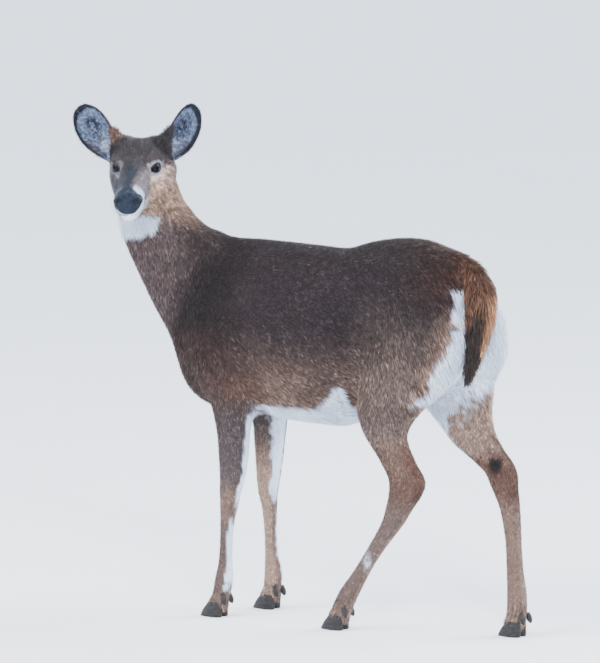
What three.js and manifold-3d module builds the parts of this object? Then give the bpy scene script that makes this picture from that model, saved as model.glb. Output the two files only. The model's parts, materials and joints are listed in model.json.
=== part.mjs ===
// White-tailed deer doe, life size, standing with the head turned back over its left side.
// Millimetres, +Z up. The deer faces -X, so its left side is -Y. All sizes are out to the tips of its coat.
//
// Every part of the body is a loft: oval sections set along a straight axis, whose centres may drift.
// The lofts are joined into one body, and thin flat cuts then part it where a person would name its parts.
import * as THREE from "three";
import { mergeVertices } from "three/addons/utils/BufferGeometryUtils.js";
import Module from "manifold-3d";

const wasm = await Module();
wasm.setup();

// ---- driving dimensions ----
const GAP = 0.3; // clearance between touching solids
const WITHERS_HEIGHT = 903; // top of the shoulders above the ground
const CROUP_HEIGHT = 934; // top of the hips
const BELLY_HEIGHT = 470; // underside of the barrel
const BARREL_HALF_WIDTH = 128; // widest point of the ribs
const EYE_RADIUS = 18;
const EYE_SPREAD = 40; // from the head's middle plane to the centre of each eyeball
const HEAD_LENGTH = 268; // from the poll to the tip of the nose
const EAR_LENGTH = 156;
const EAR_HALF_WIDTH = 39;
const EAR_WALL = 2.4;
const TAIL_LENGTH = 268;
const EAR_MOUND_RADIUS = 34; // the swelling the ear stands on
const BROW_RADIUS = 25;
const HOOF_LENGTH = 62;
const HOOF_HALF_WIDTH = 11.5; // one of the two claws of a hoof
const HOOF_HEIGHT = 36;
const DEWCLAW_LENGTH = 26;

// ---- materials ----
const material = (color, roughness) => new THREE.MeshStandardMaterial({ color, roughness, metalness: 0 });
const COAT = material(0x6b5547, 0.9);
const EAR_COAT = material(0x8d8f96, 0.9);
const TAIL_COAT = material(0x7a5232, 0.9);
const EYE = material(0x0d0b0a, 0.05);
const HORN = material(0x1c1a1b, 0.45);

// ---- lofts ----
// A frame is where an axis starts and three unit vectors: along the axis, to its side, and up from it.
const UPRIGHT = {
  origin: new THREE.Vector3(),
  along: new THREE.Vector3(0, 0, 1),
  side: new THREE.Vector3(1, 0, 0),
  up: new THREE.Vector3(0, 1, 0),
};
const LENGTHWISE = {
  origin: new THREE.Vector3(),
  along: new THREE.Vector3(1, 0, 0),
  side: new THREE.Vector3(0, 1, 0),
  up: new THREE.Vector3(0, 0, 1),
};

// The value of one column of a table of sections at t, on a smooth curve through the rows (cubic Hermite,
// with slopes from the neighbouring rows).
function columnAt(rows, column, t) {
  const last = rows.length - 1;
  let i = 0;
  while (i < last - 1 && t > rows[i + 1][0]) i += 1;
  const slope = (k) => {
    const a = rows[Math.max(k - 1, 0)];
    const b = rows[Math.min(k + 1, last)];
    return (b[column] - a[column]) / (b[0] - a[0]);
  };
  const [p, q] = [rows[i], rows[i + 1]];
  const h = q[0] - p[0];
  const s = (t - p[0]) / h;
  return (
    (1 + 2 * s) * (1 - s) ** 2 * p[column] +
    s * (1 - s) ** 2 * h * slope(i) +
    s * s * (3 - 2 * s) * q[column] +
    s * s * (s - 1) * h * slope(i + 1)
  );
}

// Rows are [t, side, up, half width, above, below, power]: the section's place along the axis, the drift of
// its centre, its half width, its heights above and below the centre, and its squareness (2 is an ellipse).
// between is how many sections are made from each row to the next. Both ends close on a point.
function loft(frame, rows, { sides = 16, between = 2, grow = 0, point = 0, flat = false } = {}) {
  const vertices = [];
  const place = (t, side, up) => {
    const p = frame.origin.clone().addScaledVector(frame.along, t);
    p.addScaledVector(frame.side, side).addScaledVector(frame.up, up);
    vertices.push(p.x, p.y, p.z);
  };
  const ts = [];
  for (let i = 0; i < rows.length - 1; i += 1)
    for (let k = 0; k < between; k += 1) ts.push(rows[i][0] + ((rows[i + 1][0] - rows[i][0]) * k) / between);
  ts.push(rows.at(-1)[0]);
  for (const t of ts) {
    const [side, up, half, above, below, power] = [1, 2, 3, 4, 5, 6].map((c) => columnAt(rows, c, t));
    for (let k = 0; k < sides; k += 1) {
      const angle = (2 * Math.PI * (k + 0.5)) / sides;
      const [c, s] = [Math.cos(angle), Math.sin(angle)];
      const reach = (v) => Math.sign(v) * Math.abs(v) ** (2 / power);
      const wide = ((s > 0 ? above : below) + grow) * (1 + point * c);
      place(t, side + (half + grow) * reach(c), up + wide * reach(s));
    }
  }
  const rings = ts.length;
  const [first, final] = [rows[0], rows.at(-1)];
  place(first[0] - (flat ? 0 : grow), first[1], first[2]);
  place(final[0] + grow, final[1], final[2]);
  const triangles = [];
  for (let r = 0; r < rings - 1; r += 1)
    for (let k = 0; k < sides; k += 1) {
      const [a, b] = [r * sides + k, r * sides + ((k + 1) % sides)];
      triangles.push(a, b, b + sides, a, b + sides, a + sides);
    }
  for (let k = 0; k < sides; k += 1) {
    const next = (k + 1) % sides;
    triangles.push(rings * sides, next, k);
    triangles.push(rings * sides + 1, (rings - 1) * sides + k, (rings - 1) * sides + next);
  }
  return solid(vertices, triangles);
}

function solid(vertices, triangles) {
  const mesh = new wasm.Mesh({
    numProp: 3,
    vertProperties: new Float32Array(vertices),
    triVerts: new Uint32Array(triangles),
  });
  return new wasm.Manifold(mesh);
}

// Any closed three.js geometry, placed by a matrix, as a solid.
function solidOf(geometry, matrix = new THREE.Matrix4()) {
  const bare = geometry.clone().applyMatrix4(matrix);
  bare.deleteAttribute("normal");
  bare.deleteAttribute("uv");
  const merged = mergeVertices(bare, 1e-3);
  return solid(merged.attributes.position.array, merged.index.array);
}

const ball = (radius, centre) =>
  solidOf(new THREE.SphereGeometry(radius, 12, 9), new THREE.Matrix4().setPosition(centre));

// A thin flat cut: a box as thick as the gap, centred on a point and square to a direction.
function slab(centre, normal, width, depth) {
  const square = normal.clone().normalize();
  const turn = new THREE.Quaternion().setFromUnitVectors(new THREE.Vector3(0, 0, 1), square);
  const place = new THREE.Matrix4().compose(centre, turn, new THREE.Vector3(1, 1, 1));
  return solidOf(new THREE.BoxGeometry(width, depth, GAP), place);
}

// ---- trunk: sections across the spine, by x ----
const trunkRows = [
  [-112, 0, 640, 30, 80, 40, 2],
  [-98, 0, 655, 64, 150, 90, 2],
  [-68, 0, 668, 88, 220, 142, 2],
  [-20, 0, 672, 104, WITHERS_HEIGHT - 674, 180, 2],
  [60, 0, 672, 116, WITHERS_HEIGHT - 670, 194, 2.05],
  [150, 0, 668, 126, WITHERS_HEIGHT - 668, 664 - BELLY_HEIGHT, 2.1],
  [240, 0, 668, BARREL_HALF_WIDTH, 232, 668 - BELLY_HEIGHT, 2.15],
  [320, 0, 682, 124, 217, 210, 2.15],
  [400, 0, 715, 112, 205, 212, 2.15],
  [480, 0, 745, 104, CROUP_HEIGHT - 747, 218, 2.1],
  [550, 0, 745, 104, 183, 190, 2.1],
  [615, 0, 730, 94, 174, 140, 2.1],
  [655, 0, 715, 78, 170, 100, 2.1],
  [682, 0, 710, 54, 145, 70, 2.1],
  [694, 0, 712, 24, 100, 40, 2],
];

// ---- neck: level sections, by height ----
const neckRows = [
  [505, -44, 0, 50, 30, 30, 2],
  [540, -38, 0, 88, 60, 60, 2.1],
  [600, -18, 0, 132, 86, 86, 2.1],
  [660, -24, 0, 158, 94, 94, 2.1],
  [730, -63, -4, 166, 87, 87, 2.1],
  [800, -110, -14, 156, 76, 76, 2.1],
  [870, -150, -32, 142, 68, 68, 2.1],
  [905, -160, -42, 137, 65, 65, 2.1],
  [935, -178, -54, 116, 62, 62, 2.1],
  [985, -194, -68, 90, 58, 58, 2.1],
  [1035, -194, -74, 70, 52, 52, 2],
  [1070, -184, -70, 54, 42, 42, 2],
  [1096, -184, -70, 24, 20, 20, 2],
];

// ---- legs: level sections, by height; half is fore and aft, above and below are across ----
const FRONT_LEFT = {
  name: "front_left",
  toe: [-5, -84],
  cuts: [460, 292, 84],
  rows: [
    [14, 10, -84, 20, 16, 16, 2.2],
    [30, 8, -84, 26, 21, 21, 2.2],
    [55, 17, -84, 23, 20, 20, 2.2],
    [92, 25, -84, 24, 20, 20, 2.2],
    [132, 29, -84, 18.5, 17, 17, 2.2],
    [185, 32, -84, 17, 16, 16, 2.2],
    [240, 36, -84, 20, 18, 18, 2.2],
    [275, 41, -84, 25, 21.5, 21.5, 2.2],
    [302, 44, -84, 28, 24, 24, 2.2],
    [346, 50, -83, 35, 27, 27, 2.1],
    [405, 52, -82, 41, 31, 31, 2.1],
    [450, 50, -80, 45, 37, 37, 2.1],
    [500, 46, -74, 58, 46, 46, 2.1],
    [560, 36, -62, 82, 62, 62, 2],
    [640, 28, -52, 98, 66, 66, 2],
    [720, 28, -48, 84, 60, 60, 2],
    [800, 32, -44, 48, 40, 40, 2],
  ],
};
const FRONT_RIGHT = {
  name: "front_right",
  toe: [36, 78],
  cuts: [460, 292, 84],
  rows: [
    [14, 50, 78, 20, 16, 16, 2.2],
    [30, 48, 78, 26, 21, 21, 2.2],
    [55, 54, 78, 23, 20, 20, 2.2],
    [92, 57, 78, 24, 20, 20, 2.2],
    [132, 52, 78, 18, 17, 17, 2.2],
    [185, 49, 78, 17, 16, 16, 2.2],
    [240, 46, 78, 20, 18, 18, 2.2],
    [275, 42, 78, 25, 21.5, 21.5, 2.2],
    [302, 42, 78, 29, 24, 24, 2.2],
    [346, 44, 78, 35, 27, 27, 2.1],
    [405, 46, 78, 41, 31, 31, 2.1],
    [450, 48, 76, 46, 37, 37, 2.1],
    [500, 46, 72, 58, 46, 46, 2.1],
    [560, 36, 62, 82, 62, 62, 2],
    [640, 28, 52, 98, 66, 66, 2],
    [720, 28, 48, 84, 60, 60, 2],
    [800, 32, 44, 48, 40, 40, 2],
  ],
};
const HIND_LEFT = {
  name: "hind_left",
  toe: [334, -74],
  cuts: [500, 352, 84],
  rows: [
    [14, 350, -74, 20, 16, 16, 2.2],
    [30, 348, -74, 27, 21, 21, 2.2],
    [55, 358, -74, 27, 20, 20, 2.2],
    [92, 377, -74, 28, 20, 20, 2.2],
    [152, 417, -74, 23, 17, 17, 2.2],
    [198, 449, -74, 24, 17, 17, 2.2],
    [264, 497, -75, 31, 19, 19, 2.2],
    [300, 516, -76, 37, 21, 21, 2.2],
    [340, 535, -77, 46, 24, 24, 2.2],
    [372, 538, -78, 51, 25, 25, 2.1],
    [417, 512, -80, 50, 28, 28, 2.1],
    [474, 482, -82, 60, 38, 38, 2.1],
    [530, 490, -80, 88, 50, 50, 2.1],
    [600, 526, -70, 118, 60, 60, 2.1],
    [680, 556, -62, 132, 66, 66, 2.1],
    [770, 566, -54, 118, 62, 62, 2],
    [845, 562, -38, 70, 36, 36, 2],
    [895, 560, -26, 26, 12, 12, 2],
  ],
};
const HIND_RIGHT = {
  name: "hind_right",
  toe: [730, 78],
  cuts: [500, 352, 84],
  rows: [
    [14, 742, 78, 20, 16, 16, 2.2],
    [30, 738, 78, 26, 21, 21, 2.2],
    [55, 744, 78, 26, 20, 20, 2.2],
    [100, 744, 78, 26, 20, 20, 2.2],
    [152, 739, 78, 23, 17, 17, 2.2],
    [223, 734, 78, 22, 17, 17, 2.2],
    [283, 727, 78, 26, 19, 19, 2.2],
    [311, 721, 78, 29, 21, 21, 2.2],
    [347, 710, 78, 36, 24, 24, 2.2],
    [381, 699, 78, 45, 25, 25, 2.1],
    [407, 676, 78, 56, 27, 27, 2.1],
    [440, 637, 78, 67, 32, 32, 2.1],
    [480, 606, 78, 74, 40, 40, 2.1],
    [535, 580, 76, 94, 50, 50, 2.1],
    [600, 574, 70, 106, 60, 60, 2.1],
    [680, 592, 62, 123, 66, 66, 2.1],
    [770, 586, 54, 116, 62, 62, 2],
    [845, 566, 38, 70, 36, 36, 2],
    [895, 560, 26, 26, 12, 12, 2],
  ],
};
const LEGS = [FRONT_LEFT, FRONT_RIGHT, HIND_LEFT, HIND_RIGHT];

// ---- head: sections square to a line from the poll to the nose ----
const HEAD_TURN = THREE.MathUtils.degToRad(28); // from straight out to its left, back towards the tail
const HEAD_PITCH = THREE.MathUtils.degToRad(10); // how far the line points below the level
const EYES_MIDDLE = new THREE.Vector3(-177, -155, 1069);
const EYE_ALONG = 98; // from the poll
const EYE_UP = 16;

const HEAD = { along: new THREE.Vector3(), side: new THREE.Vector3(), up: new THREE.Vector3() };
{
  const facing = new THREE.Vector3(Math.sin(HEAD_TURN), -Math.cos(HEAD_TURN), 0);
  const zenith = new THREE.Vector3(0, 0, 1);
  const [level, steep] = [Math.cos(HEAD_PITCH), Math.sin(HEAD_PITCH)];
  HEAD.along.copy(facing).multiplyScalar(level).addScaledVector(zenith, -steep);
  HEAD.up.copy(facing).multiplyScalar(steep).addScaledVector(zenith, level);
  HEAD.side.crossVectors(HEAD.up, HEAD.along); // towards the deer's own left
  HEAD.origin = EYES_MIDDLE.clone().addScaledVector(HEAD.along, -EYE_ALONG);
  HEAD.origin.addScaledVector(HEAD.up, -EYE_UP);
}
function inHead(along, side, up) {
  const point = HEAD.origin.clone().addScaledVector(HEAD.along, along);
  return point.addScaledVector(HEAD.side, side).addScaledVector(HEAD.up, up);
}

const headRows = [
  [-38, 0, -10, 28, 28, 32, 2],
  [-22, 0, -8, 50, 52, 58, 2.1],
  [10, 0, -4, 64, 68, 76, 2.3],
  [45, 0, -4, 72, 76, 88, 2.3],
  [75, 0, -6, 66, 72, 90, 2.3],
  [98, 0, -8, 51, 62, 85, 2.2],
  [114, 0, -10, 40, 54, 78, 2.2],
  [135, 0, -13, 38, 47, 70, 2.2],
  [160, 0, -17, 36, 40, 61, 2.3],
  [190, 0, -20, 35, 34, 53, 2.4],
  [220, 0, -23, 36, 30, 48, 2.4],
  [246, 0, -25, 36, 27, 44, 2.3],
  [262, 0, -26, 31, 23, 36, 2.2],
  [HEAD_LENGTH, 0, -28, 20, 14, 20, 2],
];

// ---- ears: cupped leaves, whose sections are arcs that open out from the base to the tip ----
const EARS = [
  { name: "ear_left", base: [20, 57, 22], axis: [-0.62, 0.41, 0.66], facing: [0.72, 0.62, 0.29] },
  { name: "ear_right", base: [20, -57, 13], axis: [-0.48, -0.62, 0.62], facing: [0.93, -0.1, 0.29] },
];
const earRows = [
  // [share of the length, half width, half angle of the arc in degrees]
  [0, 20, 116],
  [0.14, 27, 104],
  [0.3, 35, 84],
  [0.5, EAR_HALF_WIDTH, 66],
  [0.7, 36, 54],
  [0.85, 27, 46],
  [0.95, 16, 38],
  [1, 6, 30],
];

function ear({ base, axis, facing }) {
  const toWorld = (v) => inHead(...v).sub(HEAD.origin).normalize();
  const along = toWorld(axis);
  const out = toWorld(facing);
  out.addScaledVector(along, -out.dot(along)).normalize();
  const across = new THREE.Vector3().crossVectors(along, out);
  const root = inHead(...base);
  const [steps, arcs] = [8, 8];
  const vertices = [];
  for (let layer = 0; layer < 2; layer += 1)
    for (let i = 0; i <= steps; i += 1) {
      const share = i / steps;
      const half = columnAt(earRows, 1, share);
      const angle = THREE.MathUtils.degToRad(columnAt(earRows, 2, share));
      const radius = half / Math.sin(Math.min(angle, Math.PI / 2));
      for (let k = 0; k <= arcs; k += 1) {
        const phi = angle * ((2 * k) / arcs - 1);
        const r = radius + layer * EAR_WALL;
        const p = root.clone().addScaledVector(along, share * EAR_LENGTH);
        p.addScaledVector(across, r * Math.sin(phi)).addScaledVector(out, radius - r * Math.cos(phi));
        vertices.push(p.x, p.y, p.z);
      }
    }
  const row = arcs + 1;
  const layerSize = (steps + 1) * row;
  const triangles = [];
  const quad = (a, b, c, d) => triangles.push(a, c, b, a, d, c);
  for (let i = 0; i < steps; i += 1)
    for (let k = 0; k < arcs; k += 1) {
      const a = i * row + k;
      quad(a, a + row, a + row + 1, a + 1);
      quad(layerSize + a, layerSize + a + 1, layerSize + a + row + 1, layerSize + a + row);
    }
  for (let i = 0; i < steps; i += 1) {
    const [a, b] = [i * row, i * row + arcs];
    quad(a, layerSize + a, layerSize + a + row, a + row);
    quad(b, b + row, layerSize + b + row, layerSize + b);
  }
  for (let k = 0; k < arcs; k += 1) {
    const b = steps * row + k;
    quad(k, k + 1, layerSize + k + 1, layerSize + k);
    quad(b, layerSize + b, layerSize + b + 1, b + 1);
  }
  return solid(vertices, triangles);
}

// ---- tail: flat sections down its length ----
const TAIL = {
  origin: new THREE.Vector3(670, -4, 868),
  along: new THREE.Vector3(0.09, -0.1, -1).normalize(),
  side: new THREE.Vector3(0, 1, 0),
  up: new THREE.Vector3(),
};
TAIL.up.crossVectors(TAIL.along, TAIL.side).normalize();
TAIL.side.crossVectors(TAIL.up, TAIL.along);
const tailRows = [
  [-22, 0, -8, 18, 12, 10, 2],
  [4, 0, 6, 36, 26, 24, 2],
  [45, 0, 17, 48, 32, 30, 2],
  [100, -3, 19, 50, 31, 30, 2],
  [150, -9, 16, 45, 26, 28, 2],
  [200, -17, 10, 33, 20, 22, 2],
  [245, -28, 3, 16, 12, 13, 2],
  [TAIL_LENGTH, -34, 0, 5, 4, 4, 2],
];

// ---- hooves and dewclaws ----
const hoofRows = [
  [0, 0, 0, HOOF_LENGTH / 2, HOOF_HALF_WIDTH, HOOF_HALF_WIDTH, 2],
  [18, 5, 0, HOOF_LENGTH / 2 - 5, HOOF_HALF_WIDTH - 0.5, HOOF_HALF_WIDTH - 0.5, 2],
  [HOOF_HEIGHT, 12, 0, HOOF_LENGTH / 2 - 13, HOOF_HALF_WIDTH - 3, HOOF_HALF_WIDTH - 3, 2],
];
const hoof = ([x, y], across, grow = 0) => {
  const frame = { ...UPRIGHT, origin: new THREE.Vector3(x, y + across * (HOOF_HALF_WIDTH + 0.8), 0) };
  return loft(frame, hoofRows, { sides: 12, between: 1, grow, point: 0.3, flat: true });
};
const dewclaw = ([x, y], across, grow = 0) => {
  const frame = {
    origin: new THREE.Vector3(x + 35, y + across * 13, 56),
    along: new THREE.Vector3(0.32, across * 0.12, -0.95).normalize(),
    side: new THREE.Vector3(0, 1, 0),
    up: new THREE.Vector3(),
  };
  frame.up.crossVectors(frame.along, frame.side).normalize();
  frame.side.crossVectors(frame.up, frame.along);
  const rows = [
    [0, 0, 0, 5.5, 5.5, 5.5, 2],
    [DEWCLAW_LENGTH * 0.5, 0, 0, 7.5, 6.5, 6.5, 2],
    [DEWCLAW_LENGTH, 0, 0, 3, 2.5, 2.5, 2],
  ];
  return loft(frame, rows, { sides: 7, between: 1, grow });
};

// ---- the whole body, then its parts ----
const trunkShape = (grow = 0) => loft(LENGTHWISE, trunkRows, { sides: 18, grow });
const neckShape = (grow = 0) => loft(UPRIGHT, neckRows, { sides: 16, grow });
const legShape = ({ rows }, grow = 0) => loft(UPRIGHT, rows, { sides: 12, between: 1, grow });
const brow = (side) => ball(BROW_RADIUS, inHead(80, side * 38, 23));
const headShape = (grow = 0) =>
  [1, -1].reduce(
    (sum, side) => sum.add(ball(EAR_MOUND_RADIUS + grow, inHead(8, side * 37, 32))),
    loft(HEAD, headRows, { sides: 20, between: 1, grow }),
  );
const headSolid = headShape().add(brow(1)).add(brow(-1));
const torso = trunkShape().add(neckShape()).add(headSolid);
const whole = LEGS.reduce((sum, leg) => sum.add(legShape(leg)), torso);

const cuts = [
  slab(new THREE.Vector3(-132, 0, 770), new THREE.Vector3(-0.913, 0, 0.408), 360, 300),
  slab(inHead(30, 0, -78), inHead(0.296, 0, 0.955).sub(HEAD.origin), 340, 340),
];
for (const { rows, cuts: heights } of LEGS)
  for (const z of heights) {
    const [x, y, half, across] = [1, 2, 3, 4].map((c) => columnAt(rows, c, z));
    cuts.push(slab(new THREE.Vector3(x, y, z), new THREE.Vector3(0, 0, 1), 2.3 * half, 2.3 * across));
  }
const pieces = cuts.reduce((sum, cut) => sum.subtract(cut), whole).decompose();

const middleOf = (piece) => {
  const { min, max } = piece.boundingBox();
  return new THREE.Vector3((min[0] + max[0]) / 2, (min[1] + max[1]) / 2, (min[2] + max[2]) / 2);
};
function nearest(point) {
  const distance = (piece) => middleOf(piece).distanceTo(point);
  return pieces.toSorted((a, b) => distance(a) - distance(b))[0];
}

const root = new THREE.Group();
const add = (name, made, finish) => {
  const mesh = made.getMesh();
  const geometry = new THREE.BufferGeometry();
  geometry.setAttribute("position", new THREE.BufferAttribute(mesh.vertProperties, 3));
  geometry.setIndex(new THREE.BufferAttribute(mesh.triVerts, 1));
  const piece = new THREE.Mesh(geometry, finish);
  piece.name = name;
  root.add(piece);
};

add("trunk", nearest(new THREE.Vector3(300, 0, 700)), COAT);
add("neck", nearest(new THREE.Vector3(-180, -40, 860)), COAT);

const eyeAt = (side) => inHead(EYE_ALONG - 1, side * EYE_SPREAD, EYE_UP);
const socket = (side) => ball(EYE_RADIUS + GAP, eyeAt(side));
add("head", nearest(inHead(110, 0, -20)).subtract(socket(1)).subtract(socket(-1)), COAT);
add("eye_left", ball(EYE_RADIUS, eyeAt(1)), EYE);
add("eye_right", ball(EYE_RADIUS, eyeAt(-1)), EYE);

const headGrown = headShape(GAP);
const neckGrown = neckShape(GAP);
for (const shape of EARS) {
  const leaf = ear(shape).subtract(headGrown).subtract(neckGrown);
  add(shape.name, biggest(leaf), EAR_COAT);
}

const tailShape = loft(TAIL, tailRows, { sides: 12, between: 1 });
const rump = [trunkShape(GAP), legShape(HIND_LEFT, GAP), legShape(HIND_RIGHT, GAP)];
add("tail", biggest(rump.reduce((sum, other) => sum.subtract(other), tailShape)), TAIL_COAT);

for (const { name, toe, rows, cuts: [top, middle, bottom] } of LEGS) {
  const at = (z) => new THREE.Vector3(columnAt(rows, 1, z), columnAt(rows, 2, z), z);
  add(`leg_${name}_upper`, nearest(at((top + middle) / 2)), COAT);
  add(`leg_${name}_lower`, nearest(at((middle + bottom) / 2)), COAT);
  let foot = nearest(at(bottom / 2 + 7));
  for (const [claw, across] of [["outer", Math.sign(toe[1])], ["inner", -Math.sign(toe[1])]]) {
    foot = foot.subtract(hoof(toe, across, GAP)).subtract(dewclaw(toe, across, GAP));
    add(`hoof_${name}_${claw}`, hoof(toe, across), HORN);
    add(`dewclaw_${name}_${claw}`, dewclaw(toe, across), HORN);
  }
  add(`foot_${name}`, biggest(foot), COAT);
}

function biggest(made) {
  return made.decompose().toSorted((a, b) => b.volume() - a.volume())[0];
}

// The origin is under the middle of the whole, on the ground.
const box = new THREE.Box3().setFromObject(root);
const middle = box.getCenter(new THREE.Vector3());
for (const piece of root.children) piece.geometry.translate(-middle.x, -middle.y, -box.min.z);

export default root;
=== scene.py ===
# %% [markdown]
# # A white-tailed deer, life size
# The doe stands side on and looks back over its left side. The construction comes packed as a frame:
# solids for the trunk, the neck, the head, the legs and the hooves, out to the tips of the coat.
# Here it gets what the eye reads as an animal: one skin, lids and eyes, and a coat of tufts.

import json

import bmesh
import bpy
import numpy as np
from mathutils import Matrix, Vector

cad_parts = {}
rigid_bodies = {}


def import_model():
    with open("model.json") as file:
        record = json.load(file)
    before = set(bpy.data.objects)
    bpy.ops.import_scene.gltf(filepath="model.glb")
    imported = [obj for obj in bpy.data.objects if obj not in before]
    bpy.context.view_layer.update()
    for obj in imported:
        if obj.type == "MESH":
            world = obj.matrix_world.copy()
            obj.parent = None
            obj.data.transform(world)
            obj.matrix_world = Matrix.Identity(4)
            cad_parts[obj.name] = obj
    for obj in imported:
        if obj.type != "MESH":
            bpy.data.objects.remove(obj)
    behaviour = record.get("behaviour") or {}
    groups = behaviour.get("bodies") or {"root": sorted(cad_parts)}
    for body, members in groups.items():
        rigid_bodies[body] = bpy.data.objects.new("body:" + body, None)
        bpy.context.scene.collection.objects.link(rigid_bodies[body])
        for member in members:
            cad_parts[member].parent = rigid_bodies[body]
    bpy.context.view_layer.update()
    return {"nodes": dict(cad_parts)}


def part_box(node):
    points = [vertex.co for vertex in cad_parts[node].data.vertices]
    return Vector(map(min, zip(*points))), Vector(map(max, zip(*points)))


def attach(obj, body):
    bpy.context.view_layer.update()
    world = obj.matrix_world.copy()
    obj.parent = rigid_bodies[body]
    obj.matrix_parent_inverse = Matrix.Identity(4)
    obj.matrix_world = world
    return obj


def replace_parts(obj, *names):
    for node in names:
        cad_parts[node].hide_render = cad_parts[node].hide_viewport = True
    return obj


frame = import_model()
MM = 0.001
print("frame:", len(frame["nodes"]), "nodes")

# %% [markdown]
# ## Where things are
# The frame has its origin under the middle of the whole. It is easier to think from the deer itself: x
# runs from the withers to the tail, y to its right, z up from the ground. Everything is worked out there
# and moved by SHIFT when it becomes a mesh. The left eye, which is in both, gives SHIFT.

# %% The head's own directions
HEAD_TURN = np.radians(28)  # from straight out to the left, back towards the tail
HEAD_PITCH = np.radians(10)  # below the level
EYES_MIDDLE = np.array([-177, -155, 1069]) * MM
EYE_ALONG, EYE_UP, EYE_SPREAD = 98 * MM, 16 * MM, 40 * MM
EYE_CENTRE = {side: np.array([EYE_ALONG - MM, side * EYE_SPREAD, EYE_UP]) for side in (1, -1)}

FACING = np.array([np.sin(HEAD_TURN), -np.cos(HEAD_TURN), 0])
ZENITH = np.array([0.0, 0.0, 1.0])
HEAD_ALONG = FACING * np.cos(HEAD_PITCH) - ZENITH * np.sin(HEAD_PITCH)
HEAD_UP = FACING * np.sin(HEAD_PITCH) + ZENITH * np.cos(HEAD_PITCH)
HEAD_SIDE = np.cross(HEAD_UP, HEAD_ALONG)
HEAD_ORIGIN = EYES_MIDDLE - HEAD_ALONG * EYE_ALONG - HEAD_UP * EYE_UP
HEAD_AXES = np.array([HEAD_ALONG, HEAD_SIDE, HEAD_UP])


def from_head(points):
    """Head coordinates (along, to its left, up) to the deer's: the origin plus a sum of the three axes."""
    return HEAD_ORIGIN + np.asarray(points, float) @ HEAD_AXES


def to_head(points):
    """The deer's coordinates to the head's: the offset measured on each of the three axes."""
    return (points - HEAD_ORIGIN) @ HEAD_AXES.T


low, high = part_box("eye_left")
SHIFT = (np.array(low) + np.array(high)) / 2 - from_head(EYE_CENTRE[1])
SHIFT[2] = 0.0
print("shift to the frame, mm:", np.round(SHIFT / MM, 2))

# %% [markdown]
# ## The body as lofts
# Each stretch of the body is a row of oval sections along a straight axis, as a sculptor cuts boards for a
# mannequin. A row is: place along the axis, drift to the side and up, half width, height above and below
# the centre, squareness (2 is an ellipse), all in millimetres. They are the outline of the coat.

# %% Tables of sections
TRUNK_ROWS = [
    [-112, 0, 640, 30, 80, 40, 2],
    [-98, 0, 655, 64, 150, 90, 2],
    [-68, 0, 668, 88, 220, 142, 2],
    [-20, 0, 672, 104, 229, 180, 2],
    [60, 0, 672, 116, 233, 194, 2.05],
    [150, 0, 668, 126, 235, 194, 2.1],
    [240, 0, 668, 128, 232, 198, 2.15],
    [320, 0, 682, 124, 217, 210, 2.15],
    [400, 0, 715, 112, 205, 212, 2.15],
    [480, 0, 745, 104, 187, 218, 2.1],
    [550, 0, 745, 104, 183, 190, 2.1],
    [615, 0, 730, 94, 174, 140, 2.1],
    [655, 0, 715, 78, 170, 100, 2.1],
    [682, 0, 710, 54, 145, 70, 2.1],
    [694, 0, 712, 24, 100, 40, 2],
]
NECK_ROWS = [
    [505, -44, 0, 50, 30, 30, 2],
    [540, -38, 0, 88, 60, 60, 2.1],
    [600, -18, 0, 132, 86, 86, 2.1],
    [660, -24, 0, 158, 94, 94, 2.1],
    [730, -63, -4, 166, 87, 87, 2.1],
    [800, -110, -14, 156, 76, 76, 2.1],
    [870, -150, -32, 142, 68, 68, 2.1],
    [905, -160, -42, 137, 65, 65, 2.1],
    [935, -178, -54, 116, 62, 62, 2.1],
    [985, -194, -68, 90, 58, 58, 2.1],
    [1035, -194, -74, 70, 52, 52, 2],
    [1070, -184, -70, 54, 42, 42, 2],
    [1096, -184, -70, 24, 20, 20, 2],
]
FRONT_LEFT_ROWS = [
    [14, 10, -84, 20, 16, 16, 2.2],
    [30, 8, -84, 26, 21, 21, 2.2],
    [55, 17, -84, 23, 20, 20, 2.2],
    [92, 25, -84, 24, 20, 20, 2.2],
    [132, 29, -84, 18.5, 17, 17, 2.2],
    [185, 32, -84, 17, 16, 16, 2.2],
    [240, 36, -84, 20, 18, 18, 2.2],
    [275, 41, -84, 25, 21.5, 21.5, 2.2],
    [302, 44, -84, 28, 24, 24, 2.2],
    [346, 50, -83, 35, 27, 27, 2.1],
    [405, 52, -82, 41, 31, 31, 2.1],
    [450, 50, -80, 45, 37, 37, 2.1],
    [500, 46, -74, 58, 46, 46, 2.1],
    [560, 36, -62, 82, 62, 62, 2],
    [640, 28, -52, 98, 66, 66, 2],
    [720, 28, -48, 84, 60, 60, 2],
    [800, 32, -44, 48, 40, 40, 2],
]
FRONT_RIGHT_ROWS = [
    [14, 50, 78, 20, 16, 16, 2.2],
    [30, 48, 78, 26, 21, 21, 2.2],
    [55, 54, 78, 23, 20, 20, 2.2],
    [92, 57, 78, 24, 20, 20, 2.2],
    [132, 52, 78, 18, 17, 17, 2.2],
    [185, 49, 78, 17, 16, 16, 2.2],
    [240, 46, 78, 20, 18, 18, 2.2],
    [275, 42, 78, 25, 21.5, 21.5, 2.2],
    [302, 42, 78, 29, 24, 24, 2.2],
    [346, 44, 78, 35, 27, 27, 2.1],
    [405, 46, 78, 41, 31, 31, 2.1],
    [450, 48, 76, 46, 37, 37, 2.1],
    [500, 46, 72, 58, 46, 46, 2.1],
    [560, 36, 62, 82, 62, 62, 2],
    [640, 28, 52, 98, 66, 66, 2],
    [720, 28, 48, 84, 60, 60, 2],
    [800, 32, 44, 48, 40, 40, 2],
]
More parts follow.
